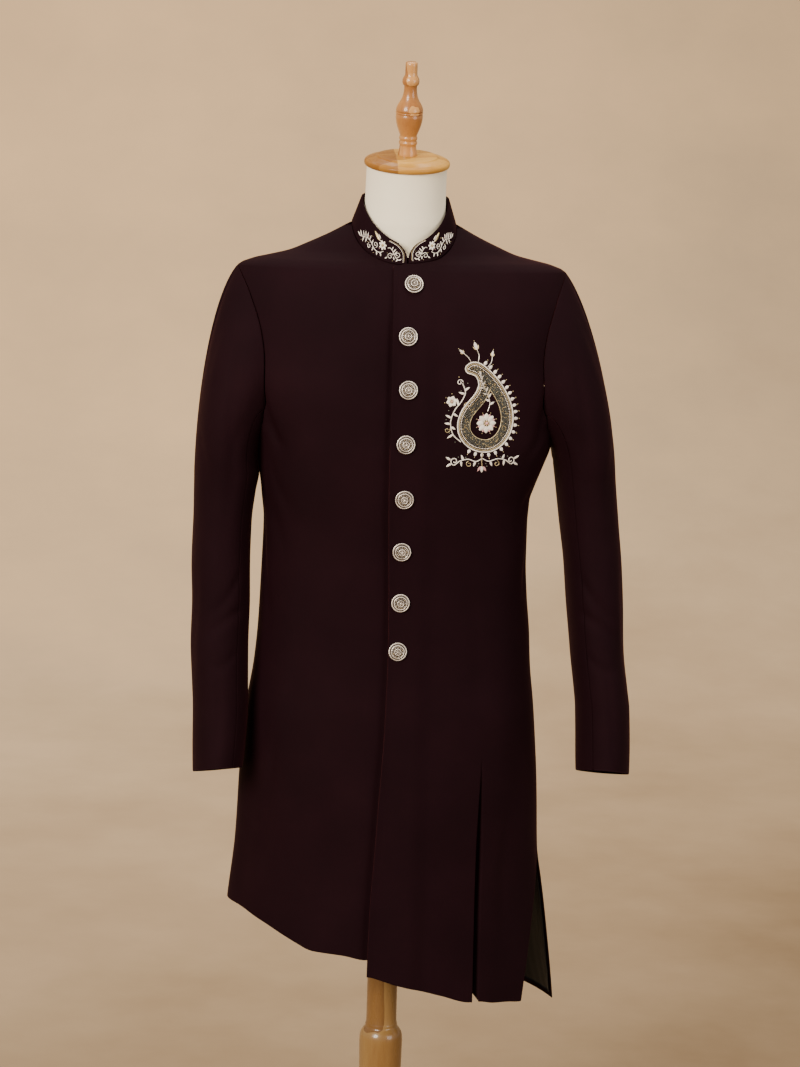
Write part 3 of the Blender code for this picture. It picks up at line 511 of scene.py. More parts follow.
def pleat_line_share():
    """How far across the front the pleat's line runs on above its top."""
    start = front_angle(PLACKET.at(PLEAT_TOP, "edge"), PLEAT_TOP)
    return float((front_angle(PLEAT_X, PLEAT_TOP) - start) / (math.pi / 2 - start))


def lap_lift(x, z):
    """How far the overlap stands proud of the front below it."""
    return PLACKET.at(z, "lap") * (1 - smooth_step((x - LAP_FLAT_TO) / (LAP_FADES_AT - LAP_FLAT_TO)))


def front_left():
    """The wearer's left front: overlap, inverted pleat and the vent's front edge."""
    top, fraction = panel_rows()
    level = drop_to_hem(top, fraction, LEFT_HEM)
    start = front_angle(PLACKET.at(level, "edge"), level)
    start = np.where(top >= NECK_PIT, front_angle(neckline_x(top), top), start)
    end = side_angle(level, ARM_SPREAD_FRONT)
    open_share = np.clip((VENT_TOP - level) / (VENT_TOP - LEFT_HEM), 0, 1)
    end = end - np.where(fraction > 0, VENT_FRONT_SWING * open_share**VENT_FRONT_POWER, 0)
    open_width = smooth_step((PLEAT_TOP - level) / (PLEAT_TOP - VENT_TOP))
    mouth = PLEAT_MOUTH_CLOSED + (PLEAT_MOUTH - PLEAT_MOUTH_CLOSED) * open_width
    above = smooth_step((level - PLEAT_TOP) / PLEAT_CLOSES_OVER)
    share = pleat_line_share()
    lips = []
    for side in (-1, 1):
        low = front_angle(PLEAT_X + side * mouth / 2, level)
        high = start + (end - start) * (share + side * PLEAT_LINE_SHARE)
        lips.append(low + (high - low) * above)
    start, end = start[:, None], end[:, None]
    lips = [lip[:, None] for lip in lips]
    near = start + (lips[0] - start) * spread_out(40)
    inside = lips[0] + (lips[1] - lips[0]) * PLEAT_INSIDE
    far = lips[1] + (end - lips[1]) * spread_out(26)
    angles = np.concatenate([near, inside, far], axis=1)
    pit = slice(near.shape[1], near.shape[1] + len(PLEAT_INSIDE))
    hem = HEM_LEFT.at(np.degrees(angles), "z")
    hem[:, pit] += PLEAT_HEM_RISE
    z = drop_to_hem(top[:, None], fraction[:, None], hem)
    x = skin(angles, z)[..., 0]
    curl = EDGE_CURL * np.exp(-(((x - PLACKET.at(z, "edge")) / EDGE_CURL_WIDTH) ** 2))
    curl = curl * smooth_step((EDGE_CURL_TOP - z) / 0.03)
    lift = lap_lift(x, z) + body_lift(angles, z) + curl
    lift[:, pit] -= PLEAT.at(z[:, pit], "depth") * PLEAT_SHAPE
    return skin(angles, z) + skin_normal(angles, z) * lift[..., None]


def front_right():
    """The wearer's right front, whose underlap lies under the left front."""
    top, fraction = panel_rows()
    level = drop_to_hem(top, fraction, RIGHT_HEM)
    start = front_angle(np.full(len(level), UNDERLAP), level)
    start = np.where(top >= NECK_PIT, -front_angle(neckline_x(top), top), start)[:, None]
    end = -side_angle(level, ARM_SPREAD_FRONT)[:, None]
    angles = start + (end - start) * spread_out(64)
    z = drop_to_hem(top[:, None], fraction[:, None], HEM_RIGHT.at(np.degrees(angles), "z"))
    beside = skin(angles, z)[..., 0] - PLACKET.at(z, "edge")
    sunk = sum(deep * np.exp(-(((beside - place) / width) ** 2))
               for deep, place, width in PLACKET_HOLLOWS)
    lift = body_lift(angles, z) - sunk * smooth_step((PLACKET_HOLLOW_TOP - z) / 0.07)
    return skin(angles, z) + skin_normal(angles, z) * lift[..., None]


def back_hem(angles, z):
    return BACK_HEM_MIDDLE - BACK_HEM_SLOPE * skin(angles, z)[..., 0]


def vent_flare(angle, z):
    """How far the back's free edge swings out below the vent's top."""
    down = np.clip((VENT_TOP - z) / (VENT_TOP - VENT_FLARE_FULL_AT), 0, 1.2)
    fade = 1 - smooth_step((np.degrees(angle) - VENT_FLARE_FADES_FROM) / VENT_FLARE_FADES_OVER)
    return VENT_FLARE * down**1.2 * fade


def back_angles(side, level, fraction, columns):
    """Angles across one back panel, from the centre back to its side."""
    end = math.pi - side_angle(level, ARM_SPREAD_BACK)
    if side > 0:
        end = end + VENT_BACK_SWING * fraction
    return side * (math.pi + (end[:, None] - math.pi) * columns)


def back(side):
    """A back panel: side +1 is the wearer's left, which has the vent."""
    top, fraction = panel_rows()
    top = np.append(NECK_SIDE, top)
    fraction = np.append(0, fraction)
    angles = back_angles(side, drop_to_hem(top, fraction, BACK_HEM), fraction, spread_out(60))
    z = drop_to_hem(top[:, None], fraction[:, None], back_hem(angles, BACK_HEM))
    lift = body_lift(angles, z)
    if side > 0:
        lift = lift + vent_flare(angles, z)
    points = skin(angles, z) + skin_normal(angles, z) * lift[..., None]
    points[:, 0, 0] = side * HALF_SEAM
    return points


def lining_vent():
    """The lining behind the open vent, a thin sheet just inside the back's wall."""
    fraction = np.linspace(0, LINING_TO_HEM, 44)
    level = drop_to_hem(VENT_TOP, fraction, BACK_HEM)
    angles = back_angles(1, level, fraction, np.linspace(*LINING_ACROSS, 40))
    z = drop_to_hem(VENT_TOP, fraction[:, None], back_hem(angles, BACK_HEM))
    ease = LINING_EASE * np.sin(angles * 37 + 2 * np.sin(z * 23))
    lift = body_lift(angles, z) + vent_flare(angles, z) - CLOTH - LINING_GAP - np.abs(ease)
    return skin(angles, z) + skin_normal(angles, z) * lift[..., None]


def sleeve_ring(table, side, phi, z):
    """Points of a horizontal sleeve section. Phi 0 is outermost, 90 degrees the front."""
    power = 2 / SLEEVE_POWER.at(z, "power")
    cosine = np.cos(phi)
    sine = np.sin(phi)
    x = table.at(z, "x") + table.at(z, "half") * np.sign(cosine) * np.abs(cosine) ** power
    y = table.at(z, "y") - table.at(z, "depth") * np.sign(sine) * np.abs(sine) ** power
    return np.stack([side * x, y, z + 0 * x], axis=-1)


def sleeve_height(table, side, phi, level):
    """Heights of one level of a sleeve, which tilts more and more towards the cuff."""
    ring = sleeve_ring(table, side, phi, level)
    forward = table.at(level, "y") - ring[..., 1]
    beyond = side * ring[..., 0] - table.at(level, "x")
    share = min(max((CUFF_FROM - level) / (CUFF_FROM - CUFF), 0), 1)
    return level + share * (CUFF_RISE * forward - CUFF_DROP * beyond)


def armhole(side, phi):
    """Points and normals of the armhole. Phi 0 is its top, 90 degrees its front."""
    spread = np.where(np.sin(phi) > 0, ARM_SPREAD_FRONT, ARM_SPREAD_BACK)
    z = ARM_MIDDLE + ARM_HALF * np.cos(phi)
    angle = side * (math.pi / 2 - spread * np.sin(phi))
    lift = body_lift(angle, z)[..., None]
    return skin(angle, z) + skin_normal(angle, z) * lift, skin_normal(angle, z)


def away_from_panel(points, ahead, normals, towards):
    """Unit steps on the surface across a seam line, to the side where towards lies."""
    steps = unit(np.cross(normals, ahead))
    facing = np.sum(steps * (towards - points), axis=-1, keepdims=True)
    return np.where(facing < 0, -steps, steps)


def sleeve_skin(side, phi, t):
    """Points of a sleeve: t from 0 to 1 is the cap, from 1 to 2 runs down to the cuff."""
    table = SLEEVE_LEFT if side > 0 else SLEEVE_RIGHT
    if t > 1:
        level = SLEEVE_RING + (CUFF - SLEEVE_RING) * (t - 1)
        return sleeve_ring(table, side, phi, sleeve_height(table, side, phi, level))
    start, normals = armhole(side, phi)
    ahead = armhole(side, phi + 0.01)[0] - armhole(side, phi - 0.01)[0]
    middle = skin(side * math.pi / 2, ARM_MIDDLE)
    steps = away_from_panel(start, ahead, normals, middle)
    start = start + steps * SEAM_GAP
    end = sleeve_ring(table, side, phi, SLEEVE_RING)
    below = sleeve_ring(table, side, phi, SLEEVE_RING - 0.01)
    under = (1 - np.cos(phi))[:, None] / 2
    lean = np.radians(8 + 100 * under)
    length = np.linalg.norm(end - start, axis=-1, keepdims=True)
    leave = (steps * np.cos(lean) + normals * np.sin(lean)) * length * (0.5 + 0.4 * under)
    arrive = unit(below - end) * length * (1.28 - 0.2 * under)
    return (
        (2 * t**3 - 3 * t**2 + 1) * start
        + (t**3 - 2 * t**2 + t) * leave
        + (3 * t**2 - 2 * t**3) * end
        + (t**3 - t**2) * arrive
    )


# Creases of the sleeves: phi in degrees and t where each starts and ends, width, depth, bow.
# Both are read as lengths: 1 mm a degree, 0.45 m a unit of t.
SLEEVE_CREASES = (
    (70, 0.30, 96, 0.95, 0.0080, -0.0020, 0.004),
    (40, 0.12, 34, 0.60, 0.0090, -0.0012, 0.003),
    (112, 0.55, 96, 1.20, 0.0090, -0.0022, -0.004),
    (20, 0.85, 66, 1.15, 0.0120, -0.0014, 0.006),
    (130, 1.34, 62, 1.50, 0.0085, -0.0022, 0.005),
    (140, 1.46, 54, 1.56, 0.0090, -0.0024, -0.005),
    (126, 1.60, 70, 1.66, 0.0090, -0.0016, 0.004),
    (36, 1.30, 16, 1.72, 0.0120, -0.0012, 0.004),
    (84, 1.66, 78, 1.96, 0.0110, -0.0014, 0.003),
    (-30, 0.70, -50, 1.30, 0.0120, -0.0016, 0.004),
    (-70, 0.40, -96, 1.00, 0.0100, -0.0022, -0.004),
    (-60, 1.45, -120, 1.60, 0.0110, -0.0014, 0.005),
    (-84, 1.62, -76, 1.95, 0.0110, -0.0012, 0.003),
    (190, 0.75, 200, 1.40, 0.0120, -0.0018, 0.004),
)
DEGREE_ON_SLEEVE = 0.001
LENGTH_OF_T = 0.45


def sleeve(side, first, last, columns):
    """One piece of a two-piece sleeve, between two seam lines."""
    phi = first + SLEEVE_TRIM + (last - first - 2 * SLEEVE_TRIM) * spread_out(columns)
    levels = np.concatenate([[0, 0.006, 0.02], np.linspace(0.05, 1, 30),
                             np.linspace(1, 1.985, 96)[1:], [1.993, 2.0]])
    points = np.array([sleeve_skin(side, phi, t) for t in levels])
    along = levels[:, None] * LENGTH_OF_T
    lift = np.zeros(points.shape[:2])
    for turns in (-360, 0, 360):
        marks = [(a * DEGREE_ON_SLEEVE, b * LENGTH_OF_T, c * DEGREE_ON_SLEEVE, d * LENGTH_OF_T, *rest)
                 for a, b, c, d, *rest in SLEEVE_CREASES]
        lift += creases(marks, (np.degrees(phi) + turns)[None, :] * DEGREE_ON_SLEEVE, along)
    if side < 0:
        snug = SNUG_LIFT + SNUG_LIFT_AT_CAP * smooth_step(1 - levels / 1.05)
        snug = snug * smooth_step((1.12 - levels) / 0.12)
        lift += snug[:, None] * np.clip(-np.cos(phi), 0, 1) ** 6
    lift *= smooth_step(levels / 0.12)[:, None]
    return points + outward(points, side) * lift[..., None]


def outward(points, side):
    """Normals of a grid whose rows run down; side is -1 where its angles grow along a row."""
    down = np.gradient(points, axis=0)
    across = np.gradient(points, axis=1)
    return unit(np.cross(across, down)) * side


def neckline(psi):
    """Points and normals of the neckline. Psi 0 is the centre front, 180 degrees the back."""
    turned = np.abs(psi)
    front = turned < math.pi / 2
    z = np.where(front, neckline_height(turned), NECK_SIDE)
    angle = np.where(front, np.abs(front_angle(NECK_HALF * np.sin(turned), z)), turned)
    angle = angle * np.sign(psi)
    return skin(angle, z), skin_normal(angle, z)


def collar_top(psi):
    cosine = np.cos(psi)
    front = cosine > 0
    x = COLLAR_TOP_HALF * np.sin(psi)
    y = COLLAR_TOP_MIDDLE - np.where(front, COLLAR_TOP_FRONT, COLLAR_TOP_BACK) * cosine
    climb = (COLLAR_TOP_SIDE - COLLAR_TOP_PIT) * np.clip(1 - cosine, 0, 1) ** COLLAR_TOP_POWER
    z = np.where(front, COLLAR_TOP_PIT + climb, COLLAR_TOP_SIDE - COLLAR_TOP_RISE * cosine)
    return np.stack([x, y, z], axis=-1)


def collar_edges(psi):
    """The collar's base and top line, and how much of its height its round corners leave."""
    base, normals = neckline(psi)
    ahead = neckline(psi + 0.01)[0] - neckline(psi - 0.01)[0]
    base = base + away_from_panel(base, ahead, normals, OVER_NECK) * COLLAR_GAP
    base = base + normals * np.where(psi > 0, lap_lift(base[:, 0], base[:, 2]), 0)[:, None]
    top = collar_top(psi)
    from_end = np.maximum(np.abs(psi) - COLLAR_END, 0) * NECK_HALF
    curve = np.clip(COLLAR_CORNER - from_end, 0, COLLAR_CORNER)
    lost = COLLAR_CORNER - np.sqrt(COLLAR_CORNER**2 - curve**2)
    return base, top, 1 - lost / np.linalg.norm(top - base, axis=-1)


def collar():
    """The stand collar: a band from one front end round the neck to the other."""
    corner = (1 - np.cos(np.linspace(0, math.pi / 2, 16))) * COLLAR_CORNER / NECK_HALF
    half = np.concatenate([COLLAR_END + corner, np.linspace(COLLAR_END + corner[-1], math.pi, 92)[1:]])
    psi = np.concatenate([-half[:-1], half[::-1]])
    base, top, height = collar_edges(psi)
    shares = spread_out(12, (0, 0.015, 0.04), (0.96, 0.985, 1))[::-1]
    return np.array([base + (top - base) * (height * share)[:, None] for share in shares])


def neck_tape():
    """A strip of the coat's cloth behind the collar's seam, so no form shows through the gap."""
    psi = np.linspace(math.pi, -math.pi, 182)
    line, normals = neckline(psi)
    ahead = neckline(psi + 0.01)[0] - neckline(psi - 0.01)[0]
    steps = away_from_panel(line, ahead, normals, OVER_NECK)
    base, top, _ = collar_edges(psi)
    rise = unit(top - base)
    faced = unit(np.cross(ahead, rise))
    faced = np.where(np.sum(faced * normals, axis=-1, keepdims=True) < 0, -faced, faced)
    eased = smooth_step(np.degrees(psi) / 9)
    lap = normals * (lap_lift(line[:, 0], line[:, 2]) * eased)[:, None]
    sink = np.where(psi > 0, lap_lift(base[:, 0], base[:, 2]), 0) * (1 - eased)
    base = base - normals * sink[:, None]
    reach = TAPE_HALF + 0.006 * np.exp(-((psi / math.radians(5)) ** 2))[:, None]
    return np.array([
        base + rise * reach - faced * (COLLAR_THICK + TAPE_UNDER),
        base - unit(normals + faced) * (COLLAR_THICK + TAPE_UNDER),
        line - steps * TAPE_HALF + lap - normals * (CLOTH + TAPE_UNDER),
    ])


def armhole_tape(side):
    """A strip behind the front, top and back of a sleeve's seam."""
    phi = np.radians(np.linspace(-112, 112, 90))
    line, normals = armhole(side, phi)
    ahead = armhole(side, phi + 0.01)[0] - armhole(side, phi - 0.01)[0]
    steps = away_from_panel(line, ahead, normals, skin(side * math.pi / 2, ARM_MIDDLE))
    return np.array([
        line + steps * TAPE_HALF * 0.6 - normals * (CLOTH + 0.0032),
        line - normals * (CLOTH + 0.0007),
        line - steps * TAPE_HALF * 0.7 - normals * (CLOTH + TAPE_UNDER),
    ])


def form_ring(z, angles):
    """One level of the dress form: the inside of the coat, or its neck where that is wider."""
    clear = CLOTH + 0.0006 + FORM_CLEAR.at(z, "clear")
    points = skin(angles, z) - skin_normal(angles, z) * clear
    if z < ARM_MIDDLE:
        points[:, 2] = z
    side = FORM_SIDE.at(z, "half")
    points[:, 0] = np.clip(points[:, 0], -side, side)
    if z < NECK_PIT:
        return points
    middle = neck_middle(z)
    bearing = np.arctan2(points[:, 0], middle - points[:, 1])
    reach = np.hypot(points[:, 0], points[:, 1] - middle)
    across = np.sin(bearing) / (FORM_NECK_HALF + FORM_NECK_WIDEN)
    along = np.cos(bearing) / (FORM_NECK_DEPTH + FORM_NECK_WIDEN)
    neck = 1 / np.hypot(across, along)
    height = np.where(neck > reach, z, points[:, 2])
    reach = np.maximum(reach, neck)
    return np.stack([reach * np.sin(bearing), middle - reach * np.cos(bearing), height], axis=-1)


def neck_middle(z):
    """Where the form's neck, which leans forward, has its middle at a height."""
    return -max(z - FORM_NECK_FOOT, 0) * math.tan(NECK_TILT)


def neck_ring(z, bearings, widen):
    """One level of the form's neck, which leans and tilts forward towards its top."""
    share = (z - FORM_NECK_FOOT) / (FORM_NECK_TOP - FORM_NECK_FOOT)
    middle = neck_middle(z)
    x = (FORM_NECK_HALF + widen) * np.sin(bearings)
    y = middle - (FORM_NECK_DEPTH + widen) * np.cos(bearings)
    return np.stack([x, y, z + (y - middle) * math.tan(NECK_TILT * share)], axis=-1)


def dress_form():
    """Rings of the form: its torso from below, then its neck turning even round its own middle."""
    angles = np.radians(np.arange(FORM_SIDES) * 360 / FORM_SIDES)
    shoulders = [1.42, 1.43, 1.4375, 1.445, 1.45, 1.4545, 1.457, 1.460, 1.463, 1.466, 1.471, 1.4765,
                 1.483, 1.490, 1.495, 1.499]
    torso = np.concatenate([np.linspace(FORM_BOTTOM, 1.41, 60), shoulders])
    rings = [form_ring(z, angles) for z in torso]
    start = np.unwrap(np.arctan2(rings[-1][:, 0], neck_middle(torso[-1]) - rings[-1][:, 1]))
    heights, widths, evens = np.array(NECK_RINGS).T
    neck = np.concatenate([[1.5050, 1.5095, 1.5140, 1.5220], np.linspace(1.5300, FORM_NECK_TOP, 9)])
    for z in neck:
        even = float(np.interp(z, heights, evens))
        bearings = start + (angles - start) * even
        rings.append(neck_ring(z, bearings, float(np.interp(z, heights, widths))))
    return np.array(rings)


# Materials


class Paint:
    """A short hand for one material's nodes."""

    def __init__(self, name, **sockets):
        self.material = bpy.data.materials.new(name)
        self.material.use_nodes = True
        self.nodes = self.material.node_tree.nodes
        self.links = self.material.node_tree.links
        self.shader = self.nodes["Principled BSDF"]
        for socket, value in sockets.items():
            self.shader.inputs[socket.replace("_", " ")].default_value = value
        self.place = self.nodes.new("ShaderNodeTexCoord").outputs["Object"]

    def node(self, kind, inputs=(), **settings):
        """Adds a node; its inputs are values, or the outputs that feed them."""
        made = self.nodes.new("ShaderNode" + kind)
        for key, value in settings.items():
            setattr(made, key, value)
        for key, value in dict(inputs).items():
            if isinstance(value, bpy.types.NodeSocket):
                self.links.new(value, made.inputs[key])
            else:
                made.inputs[key].default_value = value
        return made

    def stretched(self, scale, rotation=(0, 0, 0)):
        inputs = {"Vector": self.place, "Scale": scale, "Rotation": rotation}
        return self.node("Mapping", inputs).outputs[0]

    def noise(self, scale, detail=4.0, roughness=0.5, vector=None):
        inputs = {"Vector": vector or self.place, "Scale": scale, "Detail": detail,
                  "Roughness": roughness}
        return self.node("TexNoise", inputs).outputs["Fac"]

    def ramp(self, factor, *stops):
        made = self.node("ValToRGB", {"Fac": factor})
        elements = made.color_ramp.elements
        while len(elements) < len(stops):
            elements.new(0.5)
        for element, (position, colour) in zip(elements, stops):
            element.position = position
            element.color = (*colour, 1)
        return made.outputs["Color"]

    def math(self, operation, first, second=0.0):
        return self.node("Math", {0: first, 1: second}, operation=operation).outputs[0]

    def span(self, value, low, high, to_low, to_high):
        """Maps low..high onto to_low..to_high, held at its ends."""
        inputs = {"Value": value, "From Min": low, "From Max": high, "To Min": to_low,
                  "To Max": to_high}
        return self.node("MapRange", inputs).outputs[0]

    def bands(self, direction, **inputs):
        return self.node("TexWave", inputs, wave_type="BANDS", bands_direction=direction).outputs["Fac"]

    def bump(self, *heights):
        """Chains bumps of (height output, strength, distance in metres)."""
        normal = None
        for height, strength, distance in heights:
            inputs = {"Height": height, "Strength": strength, "Distance": distance}
            if normal:
                inputs["Normal"] = normal
            normal = self.node("Bump", inputs).outputs["Normal"]
        self.links.new(normal, self.shader.inputs["Normal"])

    def set(self, socket, output):
        self.links.new(output, self.shader.inputs[socket])


# A wave texture of this scale has one band a metre
ONE_BAND = 0.314


def weave_height(paint, pitch, lean):
    """Height of a twill: fine ribs laid over the cloth's own warp and weft."""
    cloth = paint.node("UVMap", uv_map="cloth").outputs["UV"]
    ribs = paint.node("Mapping", {"Vector": cloth, "Rotation": (0, 0, lean)}).outputs[0]
    twill = paint.bands("X", Vector=ribs, Scale=ONE_BAND / pitch, Distortion=0.6, Detail=1.0)
    weft = paint.bands("Y", Vector=cloth, Scale=ONE_BAND / (pitch * 0.8), Distortion=0.4)
    return paint.math("ADD", twill, paint.math("MULTIPLY", weft, 0.5))


def suiting_material():
    paint = Paint("suiting_cloth", Roughness=0.86, Sheen_Weight=0.055, Sheen_Roughness=0.32,
                  Sheen_Tint=(0.80, 0.17, 0.17, 1), Specular_IOR_Level=0.05)
    cloud = paint.noise(9.0, 3.0)
    fine = paint.noise(900.0, 2.0, 0.6)
    mixed = paint.math("ADD", paint.math("MULTIPLY", cloud, 0.45), paint.math("MULTIPLY", fine, 0.55))
    paint.set("Base Color", paint.ramp(mixed, (0.3, (0.0064, 0.00134, 0.0021)),
                                       (0.5, (0.0089, 0.0019, 0.0030)),
                                       (0.72, (0.0133, 0.0031, 0.0046))))
    paint.set("Roughness", paint.span(fine, 0.3, 0.7, 0.72, 0.86))
    paint.bump((weave_height(paint, 0.0007, math.radians(45)), 0.35, 0.0001), (fine, 0.25, 0.0001))
    return paint.material


def lining_material():
    paint = Paint("satin_lining_cloth", Roughness=0.42, Sheen_Weight=0.05, Sheen_Roughness=0.3,
                  Sheen_Tint=(0.3, 0.4, 0.6, 1), Anisotropic=0.4, Specular_IOR_Level=0.22)
    cloud = paint.noise(30.0, 3.0)
    paint.set("Base Color", paint.ramp(cloud, (0.3, (0.0030, 0.0033, 0.0046)),
                                       (0.7, (0.0056, 0.0061, 0.0080))))
    paint.set("Roughness", paint.span(paint.noise(400.0), 0.3, 0.7, 0.36, 0.5))
    ripple = paint.noise(14.0, 3.0, vector=paint.stretched((1, 1, 0.15)))
    paint.bump((ripple, 0.5, 0.002), (weave_height(paint, 0.0005, math.radians(80)), 0.15, 0.0001))
    return paint.material


def form_material():
    paint = Paint("form_cotton", Roughness=0.85, Sheen_Weight=0.15, Sheen_Roughness=0.5)
    cloud = paint.noise(7.0, 4.0)
    paint.set("Base Color", paint.ramp(cloud, (0.3, (0.98, 0.82, 0.57)), (0.7, (1.0, 0.87, 0.63))))
    threads = [paint.bands(direction, Vector=paint.place, Scale=500.0, Distortion=0.8)
               for direction in ("Z", "DIAGONAL")]
    paint.bump((paint.math("ADD", *threads), 0.25, 0.0001), (paint.noise(60.0, 5.0), 0.15, 0.001))
    return paint.material


def wood_material(name, pale, middle, dark, grain, varnish, boards=None):
    """Varnished softwood: growth rings round a leaning heart, with long dark pores.

    Boards are the place of a joint across X, and the pale and dark of the wood before it.
    """
    paint = Paint(name, Roughness=0.32, Coat_Weight=varnish, Coat_Roughness=0.14,
                  Specular_IOR_Level=0.75 * varnish)
    bent = paint.stretched(grain, (0.06, 0.09, 0.4))
    wave = {"Vector": bent, "Scale": 14.0, "Distortion": 5.0, "Detail": 3.0, "Detail Scale": 1.4}
    rings = paint.node("TexWave", wave, wave_type="RINGS", rings_direction="Z",
                       wave_profile="SAW").outputs["Fac"]
    pores = paint.noise(420.0, 3.0, 0.6, vector=paint.stretched(grain))
    blot = paint.noise(18.0, 3.0, vector=bent)
    value = paint.math("ADD", paint.math("MULTIPLY", rings, 0.45), paint.math("MULTIPLY", pores, 0.3))
    value = paint.math("ADD", value, paint.math("MULTIPLY", blot, 0.35))
    colour = paint.ramp(value, (0.25, pale), (0.52, middle), (0.85, dark))
    if boards:
        across = paint.node("SeparateXYZ", {"Vector": paint.place}).outputs["X"]
        waver = paint.math("MULTIPLY", paint.noise(40.0), 0.004)
        left = paint.math("LESS_THAN", paint.math("ADD", across, waver), boards[0])
        darker = paint.ramp(value, (0.25, boards[1]), (0.85, boards[2]))
        mixed = paint.node("Mix", {"Factor": left, "A": colour, "B": darker}, data_type="RGBA")
        colour = mixed.outputs["Result"]
    paint.set("Base Color", colour)
    paint.set("Roughness", paint.span(pores, 0.3, 0.7, 0.24, 0.38))
    paint.bump((pores, 0.12, 0.0003), (rings, 0.06, 0.0004))
    return paint.material


def thread_material(name, colour, rough, metallic, scale=2200.0, sheen=0.0):
    """Metal or silk thread, whose strands glint a little unevenly."""
    paint = Paint(name, Roughness=rough, Metallic=metallic, Sheen_Weight=sheen)
    strand = paint.noise(scale, 2.0, 0.6)
    worn = paint.noise(90.0, 2.0)
    mixed = paint.math("ADD", paint.math("MULTIPLY", strand, 0.6), paint.math("MULTIPLY", worn, 0.4))
    low = tuple(channel * 0.5 for channel in colour)
    high = tuple(min(channel * 1.18, 1) for channel in colour)
    paint.set("Base Color", paint.ramp(mixed, (0.32, low), (0.5, colour), (0.7, high)))
    paint.set("Roughness", paint.span(worn, 0.3, 0.7, rough - 0.06, rough + 0.1))
    paint.bump((strand, 0.3, 0.0001))
    return paint.material


def stage_material(name, low, middle, high):
    """A mottled backdrop with painted light and shade: darker towards its near end and its right,
    lighter upwards.
    """
    paint = Paint(name, Roughness=0.9)
    spot = paint.node("SeparateXYZ", {"Vector": paint.place}).outputs
    value = paint.span(spot["Y"], 0.7, 5.0, -0.05, 0.40)
    mottle = paint.noise(0.9, 6.0, 0.62)
    for part in (paint.span(spot["Z"], 0.0, 1.8, 0.0, 0.30), paint.span(spot["X"], -1.3, 2.0, 0.30, 0.0),
                 paint.span(mottle, 0.3, 0.7, -0.13, 0.13)):
        value = paint.math("ADD", value, part)
    paint.set("Base Color", paint.ramp(value, (0.0, low), (0.5, middle), (0.95, high)))
    return paint.material


# Meshes


def add_mesh(name, points, faces, material, uv=None):
    mesh = bpy.data.meshes.new(name)
    mesh.from_pydata(points, [], faces)
    mesh.materials.append(material)
    if uv is not None:
        layer = mesh.uv_layers.new(name="cloth")
        corners = np.empty(len(mesh.loops), dtype=np.int32)
        mesh.loops.foreach_get("vertex_index", corners)
        layer.data.foreach_set("uv", np.asarray(uv, dtype=np.float32)[corners].ravel())
    mesh.shade_smooth()
    built = bpy.data.objects.new(name, mesh)
    bpy.context.scene.collection.objects.link(built)
    return built


def grid_faces(rows, columns, first=0, flip=False):
    """Quads of a grid of points numbered row by row from first."""
    corner = (np.arange(rows - 1)[:, None] * columns + np.arange(columns - 1)[None, :] + first).ravel()
    order = (0, columns, columns + 1, 1) if not flip else (0, 1, columns + 1, columns)
    return np.stack([corner + step for step in order], axis=1).tolist()


def tube_faces(rings, sides, closed=False):
    """Quads between a tube's rings of points, numbered ring by ring."""
    faces = []
    for ring in range(rings if closed else rings - 1):
        low, high = ring * sides, (ring + 1) % rings * sides
        for here in range(sides):
            after = (here + 1) % sides
            faces.append((low + here, low + after, high + after, high + here))
    return faces


def fan(first, sides, centre, flip=False):
    """Triangles between a ring of points and its centre."""
    faces = [(first + here, first + (here + 1) % sides, centre) for here in range(sides)]
    return [face[::-1] for face in faces] if flip else faces


def rim_path(rows, columns):
    path = [(0, column) for column in range(columns)]
    path += [(row, columns - 1) for row in range(1, rows)]
    path += [(rows - 1, column) for column in range(columns - 2, -1, -1)]
    return path + [(row, 0) for row in range(rows - 2, 0, -1)]


def add_cloth(name, outer, side, material, thick=CLOTH, round_by=EDGE_ROUND, seam_side=0):
    """Builds a cloth shell whose edges are turned over softly."""
    rows, columns, _ = outer.shape
    normals = outward(outer, side)
    inner = outer - normals * thick
    if seam_side:
        for points in (outer, inner):
            edge = points[:, -1, 1]
            points[:, -1, 1] = np.where(np.abs(edge) < 0.004, seam_side * HALF_SEAM, edge)
    middle = (outer + inner) / 2
    for points, sink in ((outer, -1), (inner, 1)):
        moved = points.copy()
        for edge, beside in ((np.s_[0, :], np.s_[2, :]), (np.s_[-1, :], np.s_[-3, :]),
                             (np.s_[:, 0], np.s_[:, 2]), (np.s_[:, -1], np.s_[:, -3])):
            moved[edge] += unit(points[beside] - points[edge]) * round_by
            moved[edge] += normals[edge] * sink * round_by * 0.6
        points[...] = moved
    path = rim_path(rows, columns)
    rim = np.array([middle[row, column] for row, column in path])
    count = rows * columns
    faces = grid_faces(rows, columns, 0, side > 0) + grid_faces(rows, columns, count, side < 0)
    index = [row * columns + column for row, column in path]
    last = len(path)
    for here in range(last):
        after = (here + 1) % last
        for start, flip in ((0, side > 0), (count, side < 0)):
            face = [start + index[here], start + index[after], 2 * count + after, 2 * count + here]
            faces.append(face if flip else face[::-1])
    steps = [np.linalg.norm(np.diff(outer, axis=axis), axis=-1) for axis in (0, 1)]
    down = np.concatenate([np.zeros((1, columns)), steps[0]]).cumsum(axis=0)
    along = np.concatenate([np.zeros((rows, 1)), steps[1]], axis=1).cumsum(axis=1)
    uv = np.stack([along, down], axis=-1)
    rim_uv = np.array([uv[row, column] for row, column in path])
    uv = np.concatenate([uv.reshape(-1, 2), uv.reshape(-1, 2), rim_uv])
    points = np.concatenate([outer.reshape(-1, 3), inner.reshape(-1, 3), rim])
    return add_mesh(name, points.tolist(), faces, material, uv)


